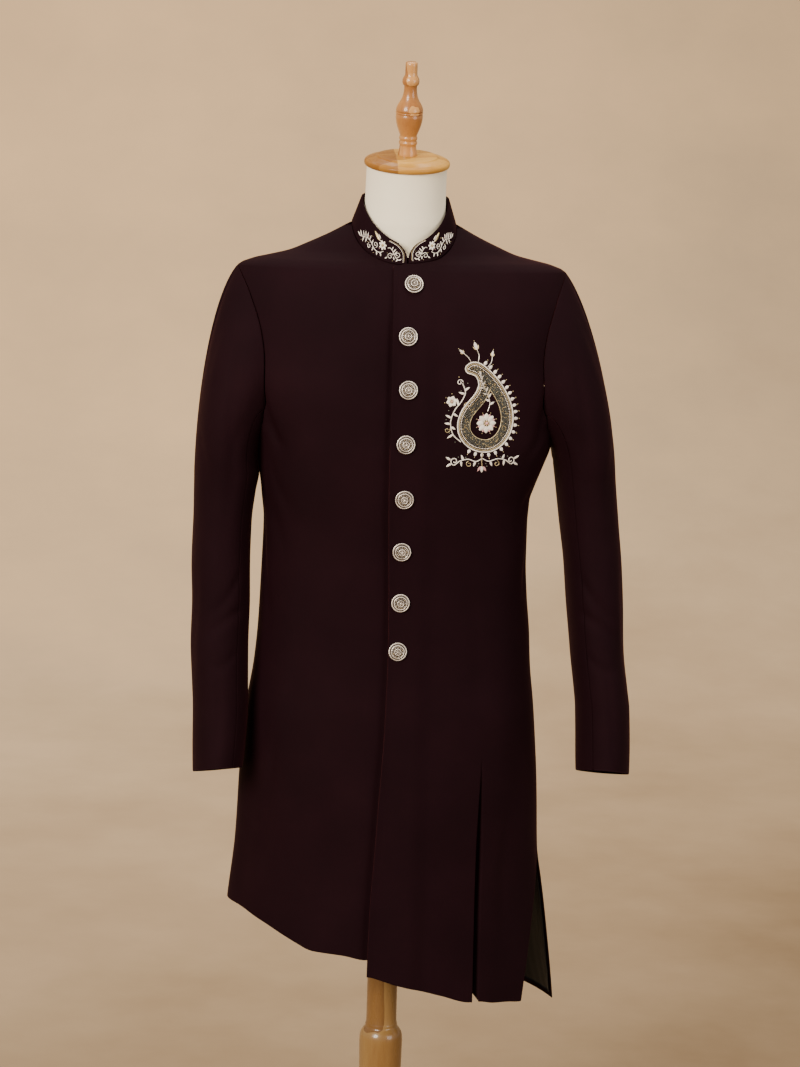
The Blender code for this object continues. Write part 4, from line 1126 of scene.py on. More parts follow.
def add_rings(name, rings, material):
    """Builds a closed form through rings of points, its ends shut by fans."""
    rings = np.asarray(rings)
    levels, count, _ = rings.shape
    points = list(map(tuple, rings.reshape(-1, 3)))
    faces = tube_faces(levels, count)
    for level, flip in ((0, True), (levels - 1, False)):
        faces += fan(level * count, count, len(points), flip)
        points.append(tuple(rings[level].mean(axis=0)))
    built = add_mesh(name, points, faces, material)
    built.data.set_sharp_from_angle(angle=math.radians(50))
    return built


def turned(rows, sides, foot=(0, 0, 0), tilt=0.0):
    """Rings of a turned form from (radius, height) rows, tilted forward about its foot."""
    turn = np.arange(sides) * 2 * math.pi / sides
    rings = []
    for radius, height in rows:
        y = -radius * np.cos(turn)
        x = radius * np.sin(turn)
        ring = np.stack([x, y * math.cos(tilt) - height * math.sin(tilt),
                         y * math.sin(tilt) + height * math.cos(tilt)], axis=-1)
        rings.append(ring + np.asarray(foot))
    return np.array(rings)


def curve_through(points, step, closed=False):
    """Even samples of a smooth curve through the points."""
    points = np.asarray(points, float)
    if closed:
        points = np.concatenate([points[-1:], points, points[:2]])
    else:
        points = np.concatenate([2 * points[:1] - points[1:2], points, 2 * points[-1:] - points[-2:-1]])
    fine = []
    for a, b, c, d in zip(points, points[1:], points[2:], points[3:]):
        t = np.linspace(0, 1, 13)[:-1, None]
        bend = (2 * a - 5 * b + 4 * c - d) * t**2
        fine.append(0.5 * (2 * b + (c - a) * t + bend + (3 * b - a - 3 * c + d) * t**3))
    fine = np.concatenate(fine + [points[-2:-1]])
    run = np.concatenate([[0], np.linalg.norm(np.diff(fine, axis=0), axis=-1).cumsum()])
    count = max(2, round(run[-1] / step) + 1)
    at = np.linspace(0, run[-1], count)
    return np.stack([np.interp(at, run, fine[:, axis]) for axis in range(fine.shape[1])], axis=-1)


CORD_TWIST = 0.16


class Heap:
    """Gathers many small forms of one material into one piece."""

    def __init__(self):
        self.points = []
        self.faces = []
        self.count = 0

    def add(self, points, faces):
        self.points.append(np.asarray(points, float).reshape(-1, 3))
        self.faces += [[self.count + corner for corner in face] for face in faces]
        self.count += len(self.points[-1])

    def bead(self, centre, normal, radius, sides=7, levels=4, squash=1.0):
        ahead = unit(np.cross(normal, [0.3, 0.2, 1.0]))
        beside = np.cross(normal, ahead)
        points = []
        for level in range(1, levels):
            lean = math.pi * level / levels
            for here in range(sides):
                turn = 2 * math.pi * here / sides
                out = math.cos(turn) * ahead + math.sin(turn) * beside
                rise = math.cos(lean) * squash * normal
                points.append(centre + radius * (math.sin(lean) * out + rise))
        low, high = len(points), len(points) + 1
        points += [centre + normal * radius * squash, centre - normal * radius * squash]
        faces = fan(0, sides, low, True) + tube_faces(levels - 1, sides)
        self.add(points, faces + fan((levels - 2) * sides, sides, high))

    def cord(self, centres, normals, radius, closed=False):
        """A tube whose section swells ring by ring, as a coiled metal thread does."""
        sides = 6
        centres = np.asarray(centres)
        ahead = unit(np.gradient(centres, axis=0))
        if closed:
            ahead = unit(np.roll(centres, -1, axis=0) - np.roll(centres, 1, axis=0))
        beside = unit(np.cross(normals, ahead))
        above = np.cross(ahead, beside)
        rings = []
        for number, (centre, right, up) in enumerate(zip(centres, beside, above)):
            size = radius * (1 - CORD_TWIST * (number % 2))
            if not closed and number in (0, len(centres) - 1):
                size *= 0.45
            turn = 2 * math.pi * (np.arange(sides) + 0.5) / sides
            rings.append(centre + size * (np.cos(turn)[:, None] * right + np.sin(turn)[:, None] * up))
        count = len(rings)
        faces = tube_faces(count, sides, closed)
        if not closed:
            faces += [list(range(sides))[::-1], list(range((count - 1) * sides, count * sides))]
        self.add(np.concatenate(rings), faces)

    def build(self, name, material):
        return add_mesh(name, np.concatenate(self.points).tolist(), self.faces, material)


# Pieces


SUITING = suiting_material()
LINING = lining_material()
FORM_CLOTH = form_material()
# Grain runs along the axis that is drawn out: up the turned wood, across the cap's boards
UPRIGHT = (1.0, 1.0, 0.12)
ACROSS = (0.25, 1.0, 1.0)
TURNED_WOOD = wood_material("honey_wood", (0.60, 0.295, 0.086), (0.475, 0.20, 0.048),
                            (0.28, 0.096, 0.019), UPRIGHT, 0.4)
# The pole and base take a darker copy of the honey wood: painted shade of the coat over the pole
POLE_WOOD_IN_PAINTED_SHADE = wood_material("honey_wood_with_painted_shade", (0.28, 0.158, 0.049), (0.215, 0.104, 0.027),
                          (0.125, 0.051, 0.012), UPRIGHT, 0.4)
CAP_WOOD = wood_material("pale_pine", (0.60, 0.325, 0.070), (0.515, 0.25, 0.042), (0.37, 0.155, 0.021),
                         ACROSS, 0.12, boards=(-0.014, (0.34, 0.147, 0.026), (0.21, 0.073, 0.010)))


def own(piece, slot, *nodes):
    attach(piece, "root")
    if nodes:
        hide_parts(*nodes)
    return piece


def add_coat():
    sheets = {
        "front_left": (front_left(), -1, -1),
        "front_right": (front_right(), 1, -1),
        "back_left": (back(1), 1, 1),
        "back_right": (back(-1), -1, 1),
        "collar": (collar(), 1, 0),
    }
    for side, word in ((1, "left"), (-1, "right")):
        top = sleeve(side, UNDER_TO - 2 * math.pi, UNDER_FROM, 54)
        under = sleeve(side, UNDER_FROM, UNDER_TO, 28)
        sheets[f"sleeve_{word}_top"] = (top, side, 0)
        sheets[f"sleeve_{word}_under"] = (under, side, 0)
    pieces = {}
    for node, (outer, side, seam_side) in sheets.items():
        thick = COLLAR_THICK if node == "collar" else CLOTH
        pieces[node] = own(add_cloth(f"{node}_cloth", outer, side, SUITING, thick, seam_side=seam_side),
                           "suiting", node)
    lining = add_cloth("lining_vent_cloth", lining_vent(), 1, LINING, LINING_THICK,
                       round_by=LINING_EDGE_ROUND)
    pieces["lining_vent"] = own(lining, "satin_lining", "lining_vent")
    tapes = (("neck", neck_tape(), 1), ("armhole_left", armhole_tape(1), 1),
             ("armhole_right", armhole_tape(-1), -1))
    for name, outer, side in tapes:
        own(add_cloth(f"{name}_seam_tape", outer, side, SUITING, TAPE_THICK,
                      round_by=TAPE_EDGE_ROUND), "suiting")
    return pieces


CAP_HEIGHT = 0.0140


def profile(*rows):
    """Radius and height of each level of a turned form, given in tenths of a millimetre."""
    return [(radius / 10000, height / 10000) for radius, height in rows]


FINIAL_ROWS = profile(
    (2, 1252), (62, 1250), (74, 1243), (80, 1230), (81, 1200), (81, 1120), (82, 1078), (90, 1062),
    (103, 1042), (112, 1015), (114, 990), (112, 968), (104, 950), (98, 944), (89, 941), (87, 925),
    (86, 895), (89, 855), (96, 810), (109, 770), (127, 732), (148, 700), (165, 668), (177, 636),
    (182, 612), (182, 600), (175, 594), (174, 588), (182, 582), (184, 575), (182, 567), (175, 562),
    (175, 556), (181, 545), (181, 510), (177, 470), (168, 425), (155, 380), (139, 335), (125, 300),
    (115, 276), (112, 266), (117, 258), (122, 245), (123, 230), (118, 216), (112, 208), (112, 200),
    (119, 190), (124, 174), (122, 158), (114, 146), (111, 138), (113, 120), (117, 80), (124, 45),
    (129, 18), (129, 3),
)
CAP_ROWS = profile(
    (150, 142), (300, 141), (395, 138), (408, 133), (412, 125), (420, 119), (440, 114), (480, 104),
    (520, 92), (532, 89), (537, 84), (545, 80), (560, 74), (570, 64), (576, 50), (577, 34),
    (574, 18), (567, 7), (556, 1), (300, 1),
)
POLE_ROWS = profile(
    (200, 8297), (214, 8290), (214, 6800), (214, 5300), (214, 3900), (216, 3790), (222, 3765),
    (226, 3750), (224, 3732), (228, 3715), (244, 3697), (264, 3672), (286, 3636), (300, 3590),
    (305, 3530), (304, 3440), (302, 3300), (300, 3120), (298, 3080), (290, 3064), (290, 3052),
    (297, 3040), (293, 3006), (276, 2952), (258, 2900), (250, 2820), (246, 2600), (242, 2200),
    (240, 1700), (242, 1520), (250, 1480), (262, 1462), (262, 1448), (258, 1436), (272, 1400),
    (290, 1340), (306, 1240), (311, 1120), (308, 1000), (292, 900), (270, 830), (256, 800),
    (256, 782), (264, 770), (264, 750), (256, 738), (255, 603),
)
BASE_ROWS = profile(
    (200, 600), (400, 600), (424, 596), (438, 584), (446, 560), (458, 520), (478, 460), (500, 400),
    (512, 380), (530, 366), (560, 358), (800, 346), (1200, 326), (1600, 306), (1720, 298),
    (1742, 288), (1758, 284), (1860, 272), (1920, 258), (1964, 232), (1990, 196), (2000, 150),
    (1998, 80), (1988, 36), (1970, 8), (1950, 1), (1000, 1),
)


def add_stand():
    own(add_rings("dress_form_cloth", dress_form(), FORM_CLOTH), "form_cloth", "dress_form")
    seat = np.array([0, -(FORM_NECK_TOP - FORM_NECK_FOOT) * math.tan(NECK_TILT), FORM_NECK_TOP])
    up = np.array([0, -math.sin(NECK_TILT), math.cos(NECK_TILT)])
    floor = np.zeros(3)
    for node, rows, sides, wood, foot, tilt in (
        ("neck_cap", CAP_ROWS, 96, CAP_WOOD, seat + up * SEAM_GAP, NECK_TILT),
        ("finial", FINIAL_ROWS, 48, TURNED_WOOD, seat + up * (CAP_HEIGHT + SEAM_GAP), NECK_TILT),
        ("pole", POLE_ROWS, 64, POLE_WOOD_IN_PAINTED_SHADE, floor, 0.0),
        ("base", BASE_ROWS, 128, POLE_WOOD_IN_PAINTED_SHADE, floor, 0.0),
    ):
        own(add_rings(f"{node}_wood", turned(rows, sides, foot, tilt)[::-1], wood), "wood", node)


# Buttons


def rope_ring(heap, place, radius, thick, height, turns):
    """A ring of twisted metal cord."""
    steps = turns * 4
    sides = 7
    around = 2 * math.pi * np.arange(steps) / steps
    section = 2 * math.pi * np.arange(sides) / sides
    swell = thick * (0.92 + 0.26 * np.cos(2 * section[None, :] - turns * around[:, None]))
    reach = radius + swell * np.cos(section)[None, :]
    points = np.stack([reach * np.cos(around)[:, None], reach * np.sin(around)[:, None],
                       height + swell * np.sin(section)[None, :]], axis=-1)
    faces = [(a, d, c, b) for a, b, c, d in tube_faces(steps, sides, True)]
    heap.add(place(points.reshape(-1, 3)), faces)


BUTTON_PLATE = profile(
    (0, 0), (104, 0), (116, 6), (120, 16), (116, 26), (104, 32), (92, 36), (74, 44), (56, 50),
    (40, 54), (20, 57), (0, 58),
)


BUTTON_SCALE = 0.965
# Rings of rope on a button: radius, half thickness, height and turns of the twist
BUTTON_ROPES = ((0.01190, 0.00095, 0.0024, 30), (0.00880, 0.00075, 0.0044, 24),
                (0.00440, 0.00062, 0.0062, 13))


def add_button(name, seat, axes, spin, silver, gold, patina):
    """A domed button: a dark plate, three rope rings, a ring of beads and a set centre."""
    across, along = math.cos(spin), math.sin(spin)
    basis = np.asarray(axes) @ np.array([[across, -along, 0], [along, across, 0], [0, 0, 1]])

    def place(points):
        return BUTTON_SCALE * np.asarray(points) @ basis.T + seat

    plate, bright, warm = Heap(), Heap(), Heap()
    sides = 36
    rings = turned(BUTTON_PLATE[1:-1], sides)
    centres = [[0, 0, BUTTON_PLATE[0][1]], [0, 0, BUTTON_PLATE[-1][1]]]
    count = len(rings) * sides
    faces = tube_faces(len(rings), sides) + fan(0, sides, count, True)
    faces += fan(count - sides, sides, count + 1)
    plate.add(place(np.concatenate([rings.reshape(-1, 3), centres])), faces)
    for rope in BUTTON_ROPES:
        rope_ring(bright, place, *rope)
    normal = basis[:, 2]
    for step in range(18):
        turned_by = 2 * math.pi * step / 18
        spot = place(np.array([0.00670 * math.cos(turned_by), 0.00670 * math.sin(turned_by), 0.0054]))
        (warm if step % 3 == 1 else bright).bead(spot, normal, 0.00062, 6, 4)
    for step in range(7):
        turned_by = 2 * math.pi * step / 7
        spot = place(np.array([0.00250 * math.cos(turned_by), 0.00250 * math.sin(turned_by), 0.0063]))
        bright.bead(spot, normal, 0.00072, 7, 4)
    bright.bead(place(np.array([0, 0, 0.0068])), normal, 0.00135, 10, 5, 0.85)
    return join_heaps(name, (bright, silver), (warm, gold), (plate, patina))


def join_heaps(name, *parts):
    """One piece of several heaps, each with its own material."""
    points = []
    faces = []
    slots = []
    count = 0
    for number, (heap, _) in enumerate(parts):
        if not heap.count:
            continue
        points.append(np.concatenate(heap.points))
        faces += [[count + corner for corner in face] for face in heap.faces]
        slots += [number] * len(heap.faces)
        count += heap.count
    built = add_mesh(name, np.concatenate(points).tolist(), faces, parts[0][1])
    for _, material in parts[1:]:
        built.data.materials.append(material)
    built.data.polygons.foreach_set("material_index", slots)
    return built


SILVER = thread_material("silver_thread", (0.86, 0.74, 0.62), 0.36, 0.75, 1300.0)
GOLD = thread_material("pale_gold_thread", (0.62, 0.47, 0.25), 0.38, 0.75)
IVORY = thread_material("ivory_thread", (0.84, 0.72, 0.60), 0.55, 0.0, 1300.0, sheen=0.15)
GREY = thread_material("grey_bead", (0.16, 0.15, 0.115), 0.32, 0.45)
ROSE = thread_material("rose_thread", (0.62, 0.30, 0.27), 0.5, 0.0, sheen=0.3)
PATINA = thread_material("dark_patina", (0.040, 0.025, 0.015), 0.6, 0.25)


def add_buttons():
    for number, (z, x) in enumerate(zip(BUTTONS.key[::-1], BUTTONS.columns["x"][::-1]), start=1):
        angle = front_angle(x, z)
        normal = skin_normal(angle, z)
        lift = PLACKET.at(z, "lap") + body_lift(angle, z) + 0.0006
        seat = skin(angle, z) + normal * lift
        right = unit(np.cross([0, 0, 1.0], normal))
        axes = np.stack([right, np.cross(normal, right), normal], axis=1)
        button = add_button(f"button_{number}_corded", seat, axes, number * 1.7, SILVER, GOLD, PATINA)
        own(button, "silver_metal", f"button_{number}")


# Embroidery: drawn on flat ground in millimetres, then laid on the cloth


class Work:
    """Embroidery on one ground, gathered by its thread."""

    def __init__(self, ground, fine=1.0):
        self.ground = ground
        self.fine = fine
        self.heaps = {}

    def heap(self, thread):
        return self.heaps.setdefault(thread, Heap())

    def lay(self, points, lift):
        return self.ground(np.asarray(points, float) / 1000, lift / 1000)

    def cord(self, thread, points, radius=0.6, closed=False, smooth=True):
        """A couched metal cord along a smooth line."""
        radius = radius * self.fine
        step = radius * 0.95
        line = curve_through(points, step, closed) if smooth else np.asarray(points, float)
        if closed:
            line = line[:-1]
        if len(line) < 3:
            return
        spots, normals = self.lay(line, radius * 0.75)
        self.heap(thread).cord(spots, normals, radius / 1000, closed=closed)

    def beads(self, thread, points, radius):
        """A row of beads along a smooth line."""
        self.dots(thread, curve_through(points, radius * 2.15), radius)

    def dots(self, thread, spots, radius=0.7, sides=6, levels=4):
        radius = radius * self.fine
        places, normals = self.lay(np.atleast_2d(spots), radius * 0.8)
        for spot, normal in zip(places, normals):
            self.heap(thread).bead(spot, normal, radius / 1000, sides, levels)

    def petal(self, thread, start, end, width, height=0.9):
        """A raised petal in satin stitch: ribs of thread laid across its length."""
        start, end = np.asarray(start, float), np.asarray(end, float)
        run = end - start
        length = float(np.hypot(*run))
        ahead = run / length
        beside = np.array([-ahead[1], ahead[0]])
        rows = max(6, int(length / 0.42))
        columns = 7
        along = np.linspace(0.02, 0.98, rows)
        across = np.linspace(-1, 1, columns)
        half = self.fine * width / 2 * np.sin(math.pi * along**0.75) ** 0.75
        middle = start + run * along[:, None]
        flat = middle[:, None, :] + beside * (half[:, None] * across[None, :])[..., None]
        ribs = 0.11 * (np.arange(rows) % 2)[:, None]
        dome = height * np.sqrt(np.clip(1 - across**2, 0, 1))[None, :]
        rise = dome * np.sin(math.pi * along)[:, None] ** 0.4 - ribs * (1 - across**2)[None, :]
        places, normals = self.lay(flat.reshape(-1, 2), 0.12)
        points = places + normals * (rise.reshape(-1, 1) / 1000)
        self.heap(thread).add(points, grid_faces(rows, columns, 0, True))

    def flower(self, middle, radius, petals, thread, heart, core, turn=0.0, height=0.9):
        middle = np.asarray(middle, float)
        for step in range(petals):
            lean = turn + 2 * math.pi * step / petals
            way = np.array([math.sin(lean), math.cos(lean)])
            self.petal(thread, middle + way * radius * 0.27, middle + way * radius,
                       radius * 1.45 * math.sin(math.pi / petals), height)
        ring = [middle + radius * 0.22 * np.array([math.sin(a), math.cos(a)])
                for a in np.linspace(0, 2 * math.pi, 7)[:-1]]
        self.dots(heart, ring, radius * 0.085 + 0.25)
        self.dots(core, [middle], radius * 0.13 + 0.3, 8, 5)

    def spiral(self, thread, middle, outer, inner, start, turns, radius=0.55):
        """A scroll that curls in from its outer radius; start is in degrees."""
        share = np.linspace(0, 1, 26)
        lean = np.radians(start) + turns * 2 * math.pi * share
        reach = outer + (inner - outer) * share
        line = np.asarray(middle) + np.stack([reach * np.sin(lean), reach * np.cos(lean)], axis=-1)
        self.cord(thread, line, radius)
        return line

    def twig(self, thread, line, leaves, size, radius, leaf_thread):
        """A stem with leaves at its sides by turns, and one at its tip."""
        path = curve_through(line, 0.5)
        self.cord(thread, line, radius)
        for number in range(leaves):
            share = 0.2 + (0.98 - 0.2) * number / max(leaves - 0.5, 1)
            spot = min(int(share * (len(path) - 1)), len(path) - 2)
            ahead = unit(path[spot + 1] - path[spot])
            side = 1 if number % 2 else -1
            way = unit(ahead * 0.8 + side * np.array([-ahead[1], ahead[0]]))
            grown = size * (1 - 0.25 * number / max(leaves, 1))
            self.petal(leaf_thread, path[spot] + way * 0.3, path[spot] + way * grown, grown * 0.36, 0.6)
        ahead = unit(path[-1] - path[-2])
        self.petal(leaf_thread, path[-1], path[-1] + ahead * size, size * 0.36, 0.6)

    def build(self, name, material_of, slot):
        for thread, heap in self.heaps.items():
            own(heap.build(f"{name}_{thread}", material_of[thread]), slot)


THREADS = {"silver": SILVER, "gold": GOLD, "ivory": IVORY, "grey": GREY, "rose": ROSE}


CHEST_X = 0.1045
CHEST_Z = 1.2695


def chest_ground(points, lift):
    x = CHEST_X + points[:, 0]
    z = CHEST_Z + points[:, 1]
    angle = front_angle(x, z)
    normal = skin_normal(angle, z)
    height = lap_lift(skin(angle, z)[..., 0], z) + body_lift(angle, z) + lift
    return skin(angle, z) + normal * height[:, None], normal


class CollarGround:
    """Flat ground on half the collar: length from the front end, height above the base."""

    def __init__(self, side):
        self.psi = side * np.linspace(COLLAR_END, math.radians(112), 400)
        base, top, _ = collar_edges(self.psi)
        middle = (base + top) / 2
        self.run = np.concatenate([[0], np.linalg.norm(np.diff(middle, axis=0), axis=-1).cumsum()])

    def __call__(self, points, lift):
        psi = np.interp(points[:, 0], self.run, self.psi)
        base, top, _ = collar_edges(psi)
        ahead = collar_edges(psi + 0.01)[0] - collar_edges(psi - 0.01)[0]
        up = unit(top - base)
        normal = unit(np.cross(ahead, up))
        return base + up * points[:, 1:2] + normal * lift, normal


def inset(outline, depth, step):
    """The closed outline moved in by depth, without the stretches that crowd together."""
    fine = curve_through(outline, 0.6, True)[:-1]
    ahead = unit(np.roll(fine, -1, axis=0) - np.roll(fine, 1, axis=0))
    area = np.sum(fine[:, 0] * np.roll(fine[:, 1], -1) - np.roll(fine[:, 0], -1) * fine[:, 1])
    inward = np.stack([-ahead[:, 1], ahead[:, 0]], axis=-1) * (1 if area > 0 else -1)
    moved = fine + inward * depth
    apart = np.linalg.norm(moved[:, None, :] - fine[None, :, :], axis=-1).min(axis=1)
    kept = moved[apart > depth - 0.15]
    if len(kept) < 8:
        return kept
    return spaced(kept, step)


def spaced(line, step):
    chosen = [line[0]]
    for spot in line[1:]:
        if np.hypot(*(spot - chosen[-1])) >= step:
            chosen.append(spot)
    return np.array(chosen)


# The paisley's outline, from its curled tip round by its outer side
PAISLEY = (
    (-27, 53), (-19, 59), (-8, 58), (4, 50), (17, 37), (29, 20), (37, 2), (40, -17),
    (36, -36), (25, -51), (9, -59), (-9, -58), (-24, -50), (-34, -36), (-36, -20), (-31, -4),
    (-22, 8), (-13, 19), (-9, 30), (-12, 40), (-19, 44), (-25, 46),
)


def chest_boota(work):
    """A paisley with a flower heart, bead rows, a leafy rim and vines at its foot and head."""
    outline = np.array(PAISLEY, float)
    work.cord("ivory", outline, 0.95, closed=True)
    for depth, thread, radius in ((2.2, "gold", 0.62), (4.4, "silver", 0.95)):
        line = inset(outline, depth, radius * (0.95 if thread == "gold" else 2.1))
        if thread == "gold":
            work.cord(thread, line, radius, closed=True, smooth=False)
        else:
            work.dots(thread, line, radius, 7, 4)
    fill = random.Random(7)
    for depth in np.arange(6.6, 16.0, 1.55):
        for spot in inset(outline, float(depth), 1.55):
            thread = "gold" if fill.random() < 0.22 else "grey"
            work.dots(thread, [spot], 0.74, 6, 3)
    work.cord("gold", inset(outline, 16.4, 0.6), 0.62, closed=True, smooth=False)

    # The flower and the sprig within
    heart = (3.0, -21.0)
    work.flower(heart, 13.5, 8, "ivory", "gold", "rose", height=1.3)
    for step in range(8):
        lean = math.pi / 8 + 2 * math.pi * step / 8
        way = np.array([math.sin(lean), math.cos(lean)])
        work.petal("rose", heart + way * 9.0, heart + way * 13.0, 2.6, 0.7)
        work.dots("gold", [heart + way * 14.6], 0.7)
    work.twig("silver", [(4, -6), (7, 6), (3, 18), (-3, 30), (-6, 42)], 9, 7.5, 0.6, "ivory")

    # Leaves all round the rim
    rim = curve_through(outline, 0.5, True)[:-1]
    ahead = unit(np.roll(rim, -1, axis=0) - np.roll(rim, 1, axis=0))
    for share in np.linspace(0.085, 0.60, 21):
        spot = int(share * len(rim))
        out = np.array([-ahead[spot, 1], ahead[spot, 0]])
        work.petal("ivory", rim[spot] + out * 1.5, rim[spot] + out * 7.6, 4.3, 1.0)
        work.dots("gold", [rim[spot] + out * 9.0], 0.75)

    # Foot: a stem, two scrolls with leaves, and hanging drops
    work.cord("gold", [(-1, -59), (-2, -70), (-1, -80)], 0.8)
    for side in (-1, 1):
        stem = [(-1, -68), (side * 9 - 1, -72), (side * 20, -69), (side * 31, -71), (side * 39, -77)]
        work.cord("ivory", stem, 0.75)
        work.spiral("ivory", (side * 39, -71.5), 5.5, 1.2, 180, -side * 1.2, 0.7)
        work.spiral("gold", (side * 19, -75.5), 4.2, 1.0, 10 * side, side * 1.1, 0.55)
        for start, end in (((10, -72), (13, -79)), ((27, -70), (30, -63)), ((30, -71), (29, -79)),
                           ((44, -70), (51, -66)), ((43, -75), (50, -79))):
            work.petal("ivory", (side * start[0], start[1]), (side * end[0], end[1]), 3.0, 0.8)
        work.dots("grey", [(side * 5 - 1, -75), (side * 6.5 - 1, -78.5), (side * 34, -66),
                           (side * 24, -66.5)], 0.85)
    work.petal("ivory", (-1, -78), (-1, -87.5), 4.6, 1.0)
    for side in (-1, 1):
        work.petal("rose", (-1 + side * 1.5, -79), (-1 + side * 6, -85.5), 3.2, 0.8)

    # Head: three buds on stems over the curled tip
    for base, bend, tip, size in (((-20, 60), (-24, 66), (-30, 71), 8),
                                  ((-10, 60), (-9, 68), (-12, 76), 11),
                                  ((3, 53), (8, 60), (9, 67), 8)):
        work.cord("silver", [base, bend, tip], 0.6)
        way = unit(np.array(tip, float) - np.array(bend, float))
        across = np.array([-way[1], way[0]])
        work.petal("ivory", tip, tip + way * size, size * 0.42, 1.0)
        for side in (-1, 1):
            end = tip + way * size * 0.5 + side * across * size * 0.38
            work.petal("gold", tip + side * across * 0.6, end, size * 0.24, 0.7)
        work.dots("gold", [tip + way * (size + 1.4)], 0.7)

    # The hollow side: a vine with curls and a small flower
    work.cord("ivory", [(-31, -46), (-42, -36), (-46, -20), (-41, -4), (-32, 8), (-27, 20),
                        (-31, 32)], 0.75)
    work.spiral("ivory", (-34.5, 33), 4.2, 1.0, 90, -1.2, 0.65)
    work.spiral("gold", (-50, -30), 4.0, 1.0, 60, 1.15, 0.55)
    work.spiral("gold", (-24.5, 3.5), 3.6, 0.9, 250, 1.1, 0.5)
    work.flower((-45, 8), 7.6, 6, "ivory", "gold", "rose", turn=0.3)
    for start, end in (((-45, -14), (-53, -10)), ((-46, -22), (-54, -21)), ((-42, -36), (-50, -41)),
                       ((-36, 3), (-38, 12)), ((-28, 18), (-36, 20)), ((-28, 22), (-21, 27)),
                       ((-43, -8), (-36, -12)), ((-45, -26), (-39, -29))):
        work.petal("ivory", start, end, 2.9, 0.8)
    work.dots("grey", [(-49, -4), (-52, -16), (-47, -34), (-39, -46), (-33, 22), (-24, 32)], 0.85)
    work.dots("gold", [(-45, 18), (-36, 40), (-54.5, 6), (-53, 13)], 0.8)


def collar_vine(work):
    """A flowering vine on one half of the collar, inside a beaded border."""
    border = [(4.2, 3.5), (4.0, 9.0), (4.6, 15.0), (7.4, 20.6), (12.6, 25.2), (19.0, 28.0), (25.5, 29.3)]
    work.beads("gold", border, 0.72)
    inner = [(x + 1.35, y - 0.7) for x, y in border]
    work.cord("ivory", inner, 0.42)
    # Front scrolls
    work.cord("ivory", [(10.5, 5.0), (14.5, 8.0), (17.5, 12.5), (20.5, 17.0), (24.5, 19.8),
                        (27.5, 18.5)], 0.62)
    work.spiral("ivory", (13.0, 12.6), 3.6, 0.9, 170, 1.15, 0.6)
    work.spiral("ivory", (22.6, 8.8), 4.2, 1.0, 300, 1.25, 0.6)
    work.cord("ivory", [(17.5, 12.5), (20.5, 12.4), (24.0, 13.0)], 0.55)
    for start, end in (((10.5, 5.0), (7.6, 7.6)), ((12.0, 6.0), (14.6, 3.2)),
                       ((17.0, 12.0), (13.8, 17.4)), ((19.0, 15.2), (15.6, 20.4)),
                       ((21.5, 17.6), (19.8, 22.6)), ((18.0, 9.0), (17.0, 4.6)),
                       ((26.5, 6.8), (29.6, 3.8))):
        work.petal("ivory", start, end, 2.2, 0.7)
    work.dots("gold", [(10.0, 16.6), (27.0, 12.0), (19.0, 3.4)], 0.7)
    # Flower, and the bud over it
    work.flower((36.0, 19.5), 6.6, 7, "ivory", "gold", "gold", turn=0.5)
    work.cord("silver", [(39.5, 23.0), (42.5, 24.6)], 0.5)
    work.petal("gold", (42.0, 23.6), (54.5, 31.2), 6.2, 1.3)
    work.petal("ivory", (41.0, 26.4), (46.5, 30.6), 2.1, 0.7)
    # Back vine: curls, twigs and a leafy end
    work.cord("ivory", [(33.0, 12.5), (38.0, 9.0), (44.5, 8.6), (51.0, 11.4), (57.0, 15.2),
                        (64.0, 16.0), (71.0, 13.0), (80.0, 9.0)], 0.62)
    work.spiral("ivory", (47.5, 15.8), 3.8, 0.9, 200, 1.2, 0.6)
    work.spiral("ivory", (58.0, 8.8), 3.4, 0.9, 20, 1.15, 0.55)
    for start, end in (((38.0, 9.0), (35.6, 4.6)), ((43.5, 8.6), (42.4, 3.6)),
                       ((50.5, 11.0), (51.6, 5.4)), ((54.0, 13.4), (53.6, 19.6)),
                       ((60.0, 16.0), (58.6, 22.6)), ((64.0, 16.0), (65.6, 23.2)),
                       ((67.5, 15.0), (71.6, 21.4)), ((71.0, 13.0), (77.0, 18.4)),
                       ((66.0, 14.6), (66.4, 8.2)), ((72.0, 12.2), (72.4, 6.0)),
                       ((76.0, 10.8), (83.4, 14.4)), ((80.0, 9.0), (88.0, 9.4))):
        work.petal("ivory", start, end, 2.3, 0.75)
    work.dots("gold", [(61.6, 12.4), (48.0, 4.6), (75.6, 6.6), (55.6, 22.8)], 0.7)
    work.dots("rose", [(62.0, 19.6), (40.0, 13.6)], 0.7)


def add_embroidery():
    chest = Work(chest_ground)
    chest_boota(chest)
    chest.build("chest_boota", THREADS, "silver_metal")
    for side, word in ((1, "left"), (-1, "right")):
        work = Work(CollarGround(side), 0.76)
        collar_vine(work)
        work.build(f"collar_vine_{word}", THREADS, "silver_metal")


# Stage, light and camera


# The floor sweeps up into the backdrop's wall, which stands behind the farthest view
FLOOR_FROM = -8.0
SWEEP_FROM = 3.0
SWEEP = 5.0
WALL_TOP = 7.0
STAGE_HALF = 8.0


def add_stage():
    run = [(FLOOR_FROM, 0.0), (SWEEP_FROM, 0.0)]
    run += [(SWEEP_FROM + SWEEP * math.sin(turn), SWEEP - SWEEP * math.cos(turn))
            for turn in np.linspace(0, math.pi / 2, 41)[1:]]
    run += [(SWEEP_FROM + SWEEP, WALL_TOP)]
    points = [(x, y, z) for y, z in run for x in (-STAGE_HALF, STAGE_HALF)]
    faces = [(2 * row, 2 * row + 1, 2 * row + 3, 2 * row + 2) for row in range(len(run) - 1)]
    paint = stage_material("mottled_backdrop_painted_shade", (0.175, 0.104, 0.044), (0.435, 0.303, 0.176),
                           (0.655, 0.430, 0.228))
    add_mesh("backdrop", points, faces, paint)


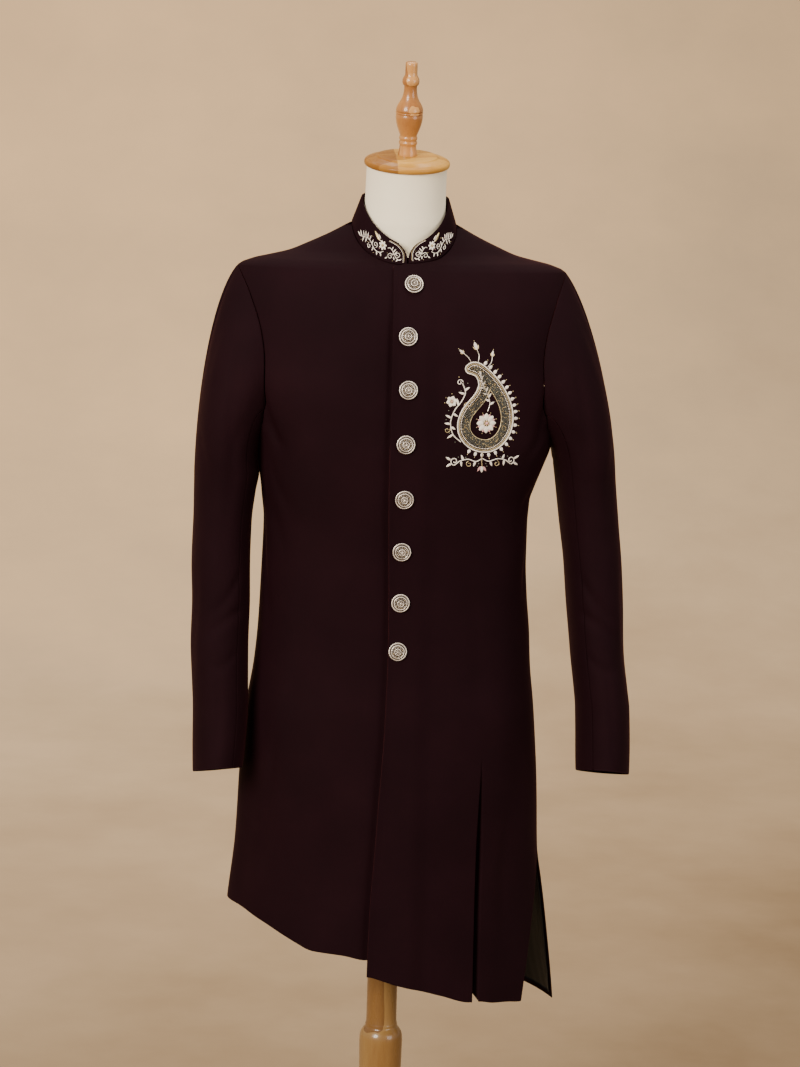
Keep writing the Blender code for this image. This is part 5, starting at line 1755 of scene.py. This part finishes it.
# Name, place, target, size, watts and colour
LIGHTS = (
    ("key", (-2.3, -3.0, 2.6), (0.0, 0.0, 1.15), 1.8, 228, (1.0, 0.955, 0.89)),
    ("fill", (2.6, -2.6, 1.6), (0.0, 0.0, 1.0), 2.0, 57, (0.97, 0.97, 0.98)),
    ("top", (0.3, -0.4, 3.9), (0.0, 0.4, 0.8), 2.2, 68, (1.0, 0.98, 0.95)),
    ("backdrop_light", (0.0, 2.2, 4.4), (0.0, 6.0, 0.9), 3.0, 300, (1.0, 0.95, 0.88)),
)
WORLD_COLOUR = (0.92, 0.88, 0.82, 1)
WORLD_STRENGTH = 0.56


def add_light(name, place, target, size, energy, colour):
    lamp = bpy.data.lights.new(name, "AREA")
    lamp.shape = "DISK"
    lamp.size = size
    lamp.energy = energy
    lamp.color = colour
    lit = bpy.data.objects.new(name, lamp)
    lit.location = place
    lit.rotation_euler = (Vector(target) - Vector(place)).to_track_quat("-Z", "Y").to_euler()
    bpy.context.scene.collection.objects.link(lit)


def add_lights():
    for light in LIGHTS:
        add_light(*light)
    world = bpy.data.worlds.new("studio")
    world.use_nodes = True
    background = world.node_tree.nodes["Background"].inputs
    background["Color"].default_value = WORLD_COLOUR
    background["Strength"].default_value = WORLD_STRENGTH
    bpy.context.scene.world = world


CAMERA_PLACE = (-0.29831, -3.48727, 1.63435)
CAMERA_AZIMUTH = math.radians(-5.0)
CAMERA_PITCH = math.radians(9.0)
CAMERA_ROLL = math.radians(1.65)
CAMERA_LENS = 86.64


def add_camera():
    behind = Vector((math.sin(CAMERA_AZIMUTH) * math.cos(CAMERA_PITCH),
                     -math.cos(CAMERA_AZIMUTH) * math.cos(CAMERA_PITCH), math.sin(CAMERA_PITCH)))
    level = Vector((math.cos(CAMERA_AZIMUTH), math.sin(CAMERA_AZIMUTH), 0))
    steep = behind.cross(level)
    right = level * math.cos(CAMERA_ROLL) + steep * math.sin(CAMERA_ROLL)
    up = steep * math.cos(CAMERA_ROLL) - level * math.sin(CAMERA_ROLL)
    data = bpy.data.cameras.new("camera")
    data.lens = CAMERA_LENS
    data.sensor_width = 36.0
    data.clip_end = 50.0
    camera = bpy.data.objects.new("camera", data)
    camera.matrix_world = Matrix((right, up, behind)).transposed().to_4x4()
    camera.location = CAMERA_PLACE
    bpy.context.scene.collection.objects.link(camera)
    bpy.context.scene.camera = camera


def main():
    add_camera()
    add_stage()
    add_lights()
    add_stand()
    cloth = add_coat()
    add_buttons()
    add_embroidery()


main()
